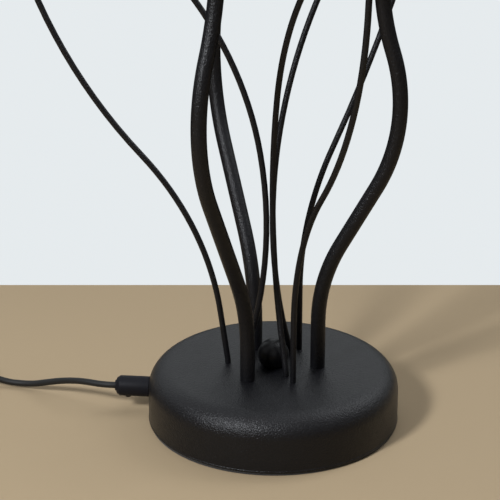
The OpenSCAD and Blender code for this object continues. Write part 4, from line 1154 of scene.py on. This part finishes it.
rocker_place = moved(SWITCH_PLACE[0], SWITCH_PLACE[1], PIVOT_Z) @ turned("Y", -ROCKER_TILT)
rocker = placed(joined([rocker_body()] + [rocker_rib(x) for x in RIB_PLACES]), rocker_place)
make_piece(
    "ribbed_rocker", rocker, "black_plastic", ["switch_rocker"], body="rocker", finish=rocker_plastic)

# %% [markdown]
# ## Plug and tie
#
# A flat two-pin plug ends the cord. Its grip narrows towards the cord, and a tapered sleeve with
# grooves keeps the cord from kinking. The grip is an extruded outline with all its edges rounded.

# %% Plug
PLUG_PLACE = (-294, -82, 7)
PLUG_W = 35.2
PLUG_T = 14
PLUG_L = 36
PLUG_NECK_W = 15
PLUG_FRONT_L = 16
PLUG_EDGE_R = 3
SLEEVE_L = 24
SLEEVE_R = (3.3, 5)
SLEEVE_INSIDE = 1
SLEEVE_GROOVES = 5
SLEEVE_GROOVE = {"width": 1.4, "depth": 0.9, "slope": 0.2}
plug_face = SLEEVE_L + PLUG_L
plug_place = moved(*PLUG_PLACE) @ turned("X", 90)


def plug_grip():
    half, neck, front = PLUG_W / 2, PLUG_NECK_W / 2, plug_face - PLUG_FRONT_L
    corners = [
        (-neck, SLEEVE_L), (neck, SLEEVE_L), (half, front), (half, plug_face), (-half, plug_face),
        (-half, front)]
    bm = extruded(corners, PLUG_T)
    bevelled(bm, bm.edges[:], PLUG_EDGE_R, segments=5)
    return bm


def plug_sleeve():
    thin, thick = SLEEVE_R
    outline = [(0, 0), (thin, 0)]
    for k in range(1, SLEEVE_GROOVES + 1):
        share = k / (SLEEVE_GROOVES + 1)
        low = SLEEVE_L * share - SLEEVE_GROOVE["width"] / 2
        outline += groove(thin + (thick - thin) * share, low, **SLEEVE_GROOVE)
    end = SLEEVE_L + SLEEVE_INSIDE
    return lathe(outline + [(thick, end), (0, end)], steps=40)


plug = placed(joined([plug_grip(), plug_sleeve()]), plug_place)
make_piece("moulded_plug", plug, "black_plastic", ["plug_body"])

# %% [markdown]
# The pins have a black collar next to the grip and bare round tips. A pin is turned in one piece, and
# its faces get one finish or the other by where they lie.

# %% Pins of the plug
PIN_R = 2
PIN_L = 19
PIN_ROOT = 1
PIN_PITCH = 19
PIN_COLLAR_L = 9
PIN_STEP = 0.12
PIN_STEP_L = 0.05
PIN_END_R = 1.2


def plug_pin(side):
    """One pin, on the left or on the right: -1 or 1."""
    bare_r = PIN_R - PIN_STEP
    outline = [
        (0, -PIN_ROOT), (PIN_R, -PIN_ROOT), (PIN_R, PIN_COLLAR_L), (bare_r, PIN_COLLAR_L + PIN_STEP_L),
        *arc((bare_r - PIN_END_R, PIN_L - PIN_END_R), PIN_END_R, 0, 90, steps=5),
        (0, PIN_L)]
    return placed(lathe(outline, steps=32), moved(side * PIN_PITCH / 2, 0, plug_face))


both_pins = placed(joined([plug_pin(-1), plug_pin(1)]), plug_place)
pins = make_piece("round_plug_pins", both_pins, "zinc", ["plug_pins"])
pins.data.materials.append(black_plastic)
collar_end = PLUG_PLACE[1] - plug_face - PIN_COLLAR_L
for face in pins.data.polygons:
    face.material_index = 1 if face.center.y > collar_end * MM else 0

# %% [markdown]
# A soft band holds the coil together. Its outline is a rounded rectangle round the bundle, made as a
# bevelled cube whose ends are taken away, and a wall gives it its thickness.

# %% Tie round the coil
TIE_T = 0.8
TIE_W = 8
TIE_GAP = 0.3
TIE_CORNER_R = 2
TIE_ANGLE = 300
tie_near = math.sqrt((COIL_MIN_R - CORD_D / 2) ** 2 - (TIE_W / 2) ** 2) - TIE_GAP - TIE_T
tie_far = COIL_MAX_R + CORD_D / 2 + TIE_GAP + TIE_T
tie_high = COIL_LOW + COIL_PITCH * (COIL_LAYERS - 1) + CORD_D / 2 + TIE_GAP + TIE_T


def tie_loop():
    bm = block((tie_far - tie_near, TIE_W, tie_high))
    bevelled(bm, edges_along(bm, 1), TIE_CORNER_R, segments=6)
    ends = [f for f in bm.faces if abs(f.normal.y) > SQUARE_ON]
    bmesh.ops.delete(bm, geom=ends, context="FACES_ONLY")
    bmesh.ops.solidify(bm, geom=bm.faces[:], thickness=TIE_T * MM)
    return bm


tie_middle = moved((tie_near + tie_far) / 2, 0, tie_high / 2)
tie = placed(tie_loop(), moved(*COIL_CENTRE) @ turned("Z", TIE_ANGLE) @ tie_middle)
make_piece("coil_tie", tie, "tie", ["cord_tie"])

# %% [markdown]
# ## Cords
#
# The cords ride on the lamp and take the place of their solids.

for cord, solids in ((run_cord, ["cord_run"]), (lead_cord, ["cord_lead", "cord_coil", "cord_tail"])):
    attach(cord, "lamp")
    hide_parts(*solids)
print("cords declared:", run_cord.name, "and", lead_cord.name)
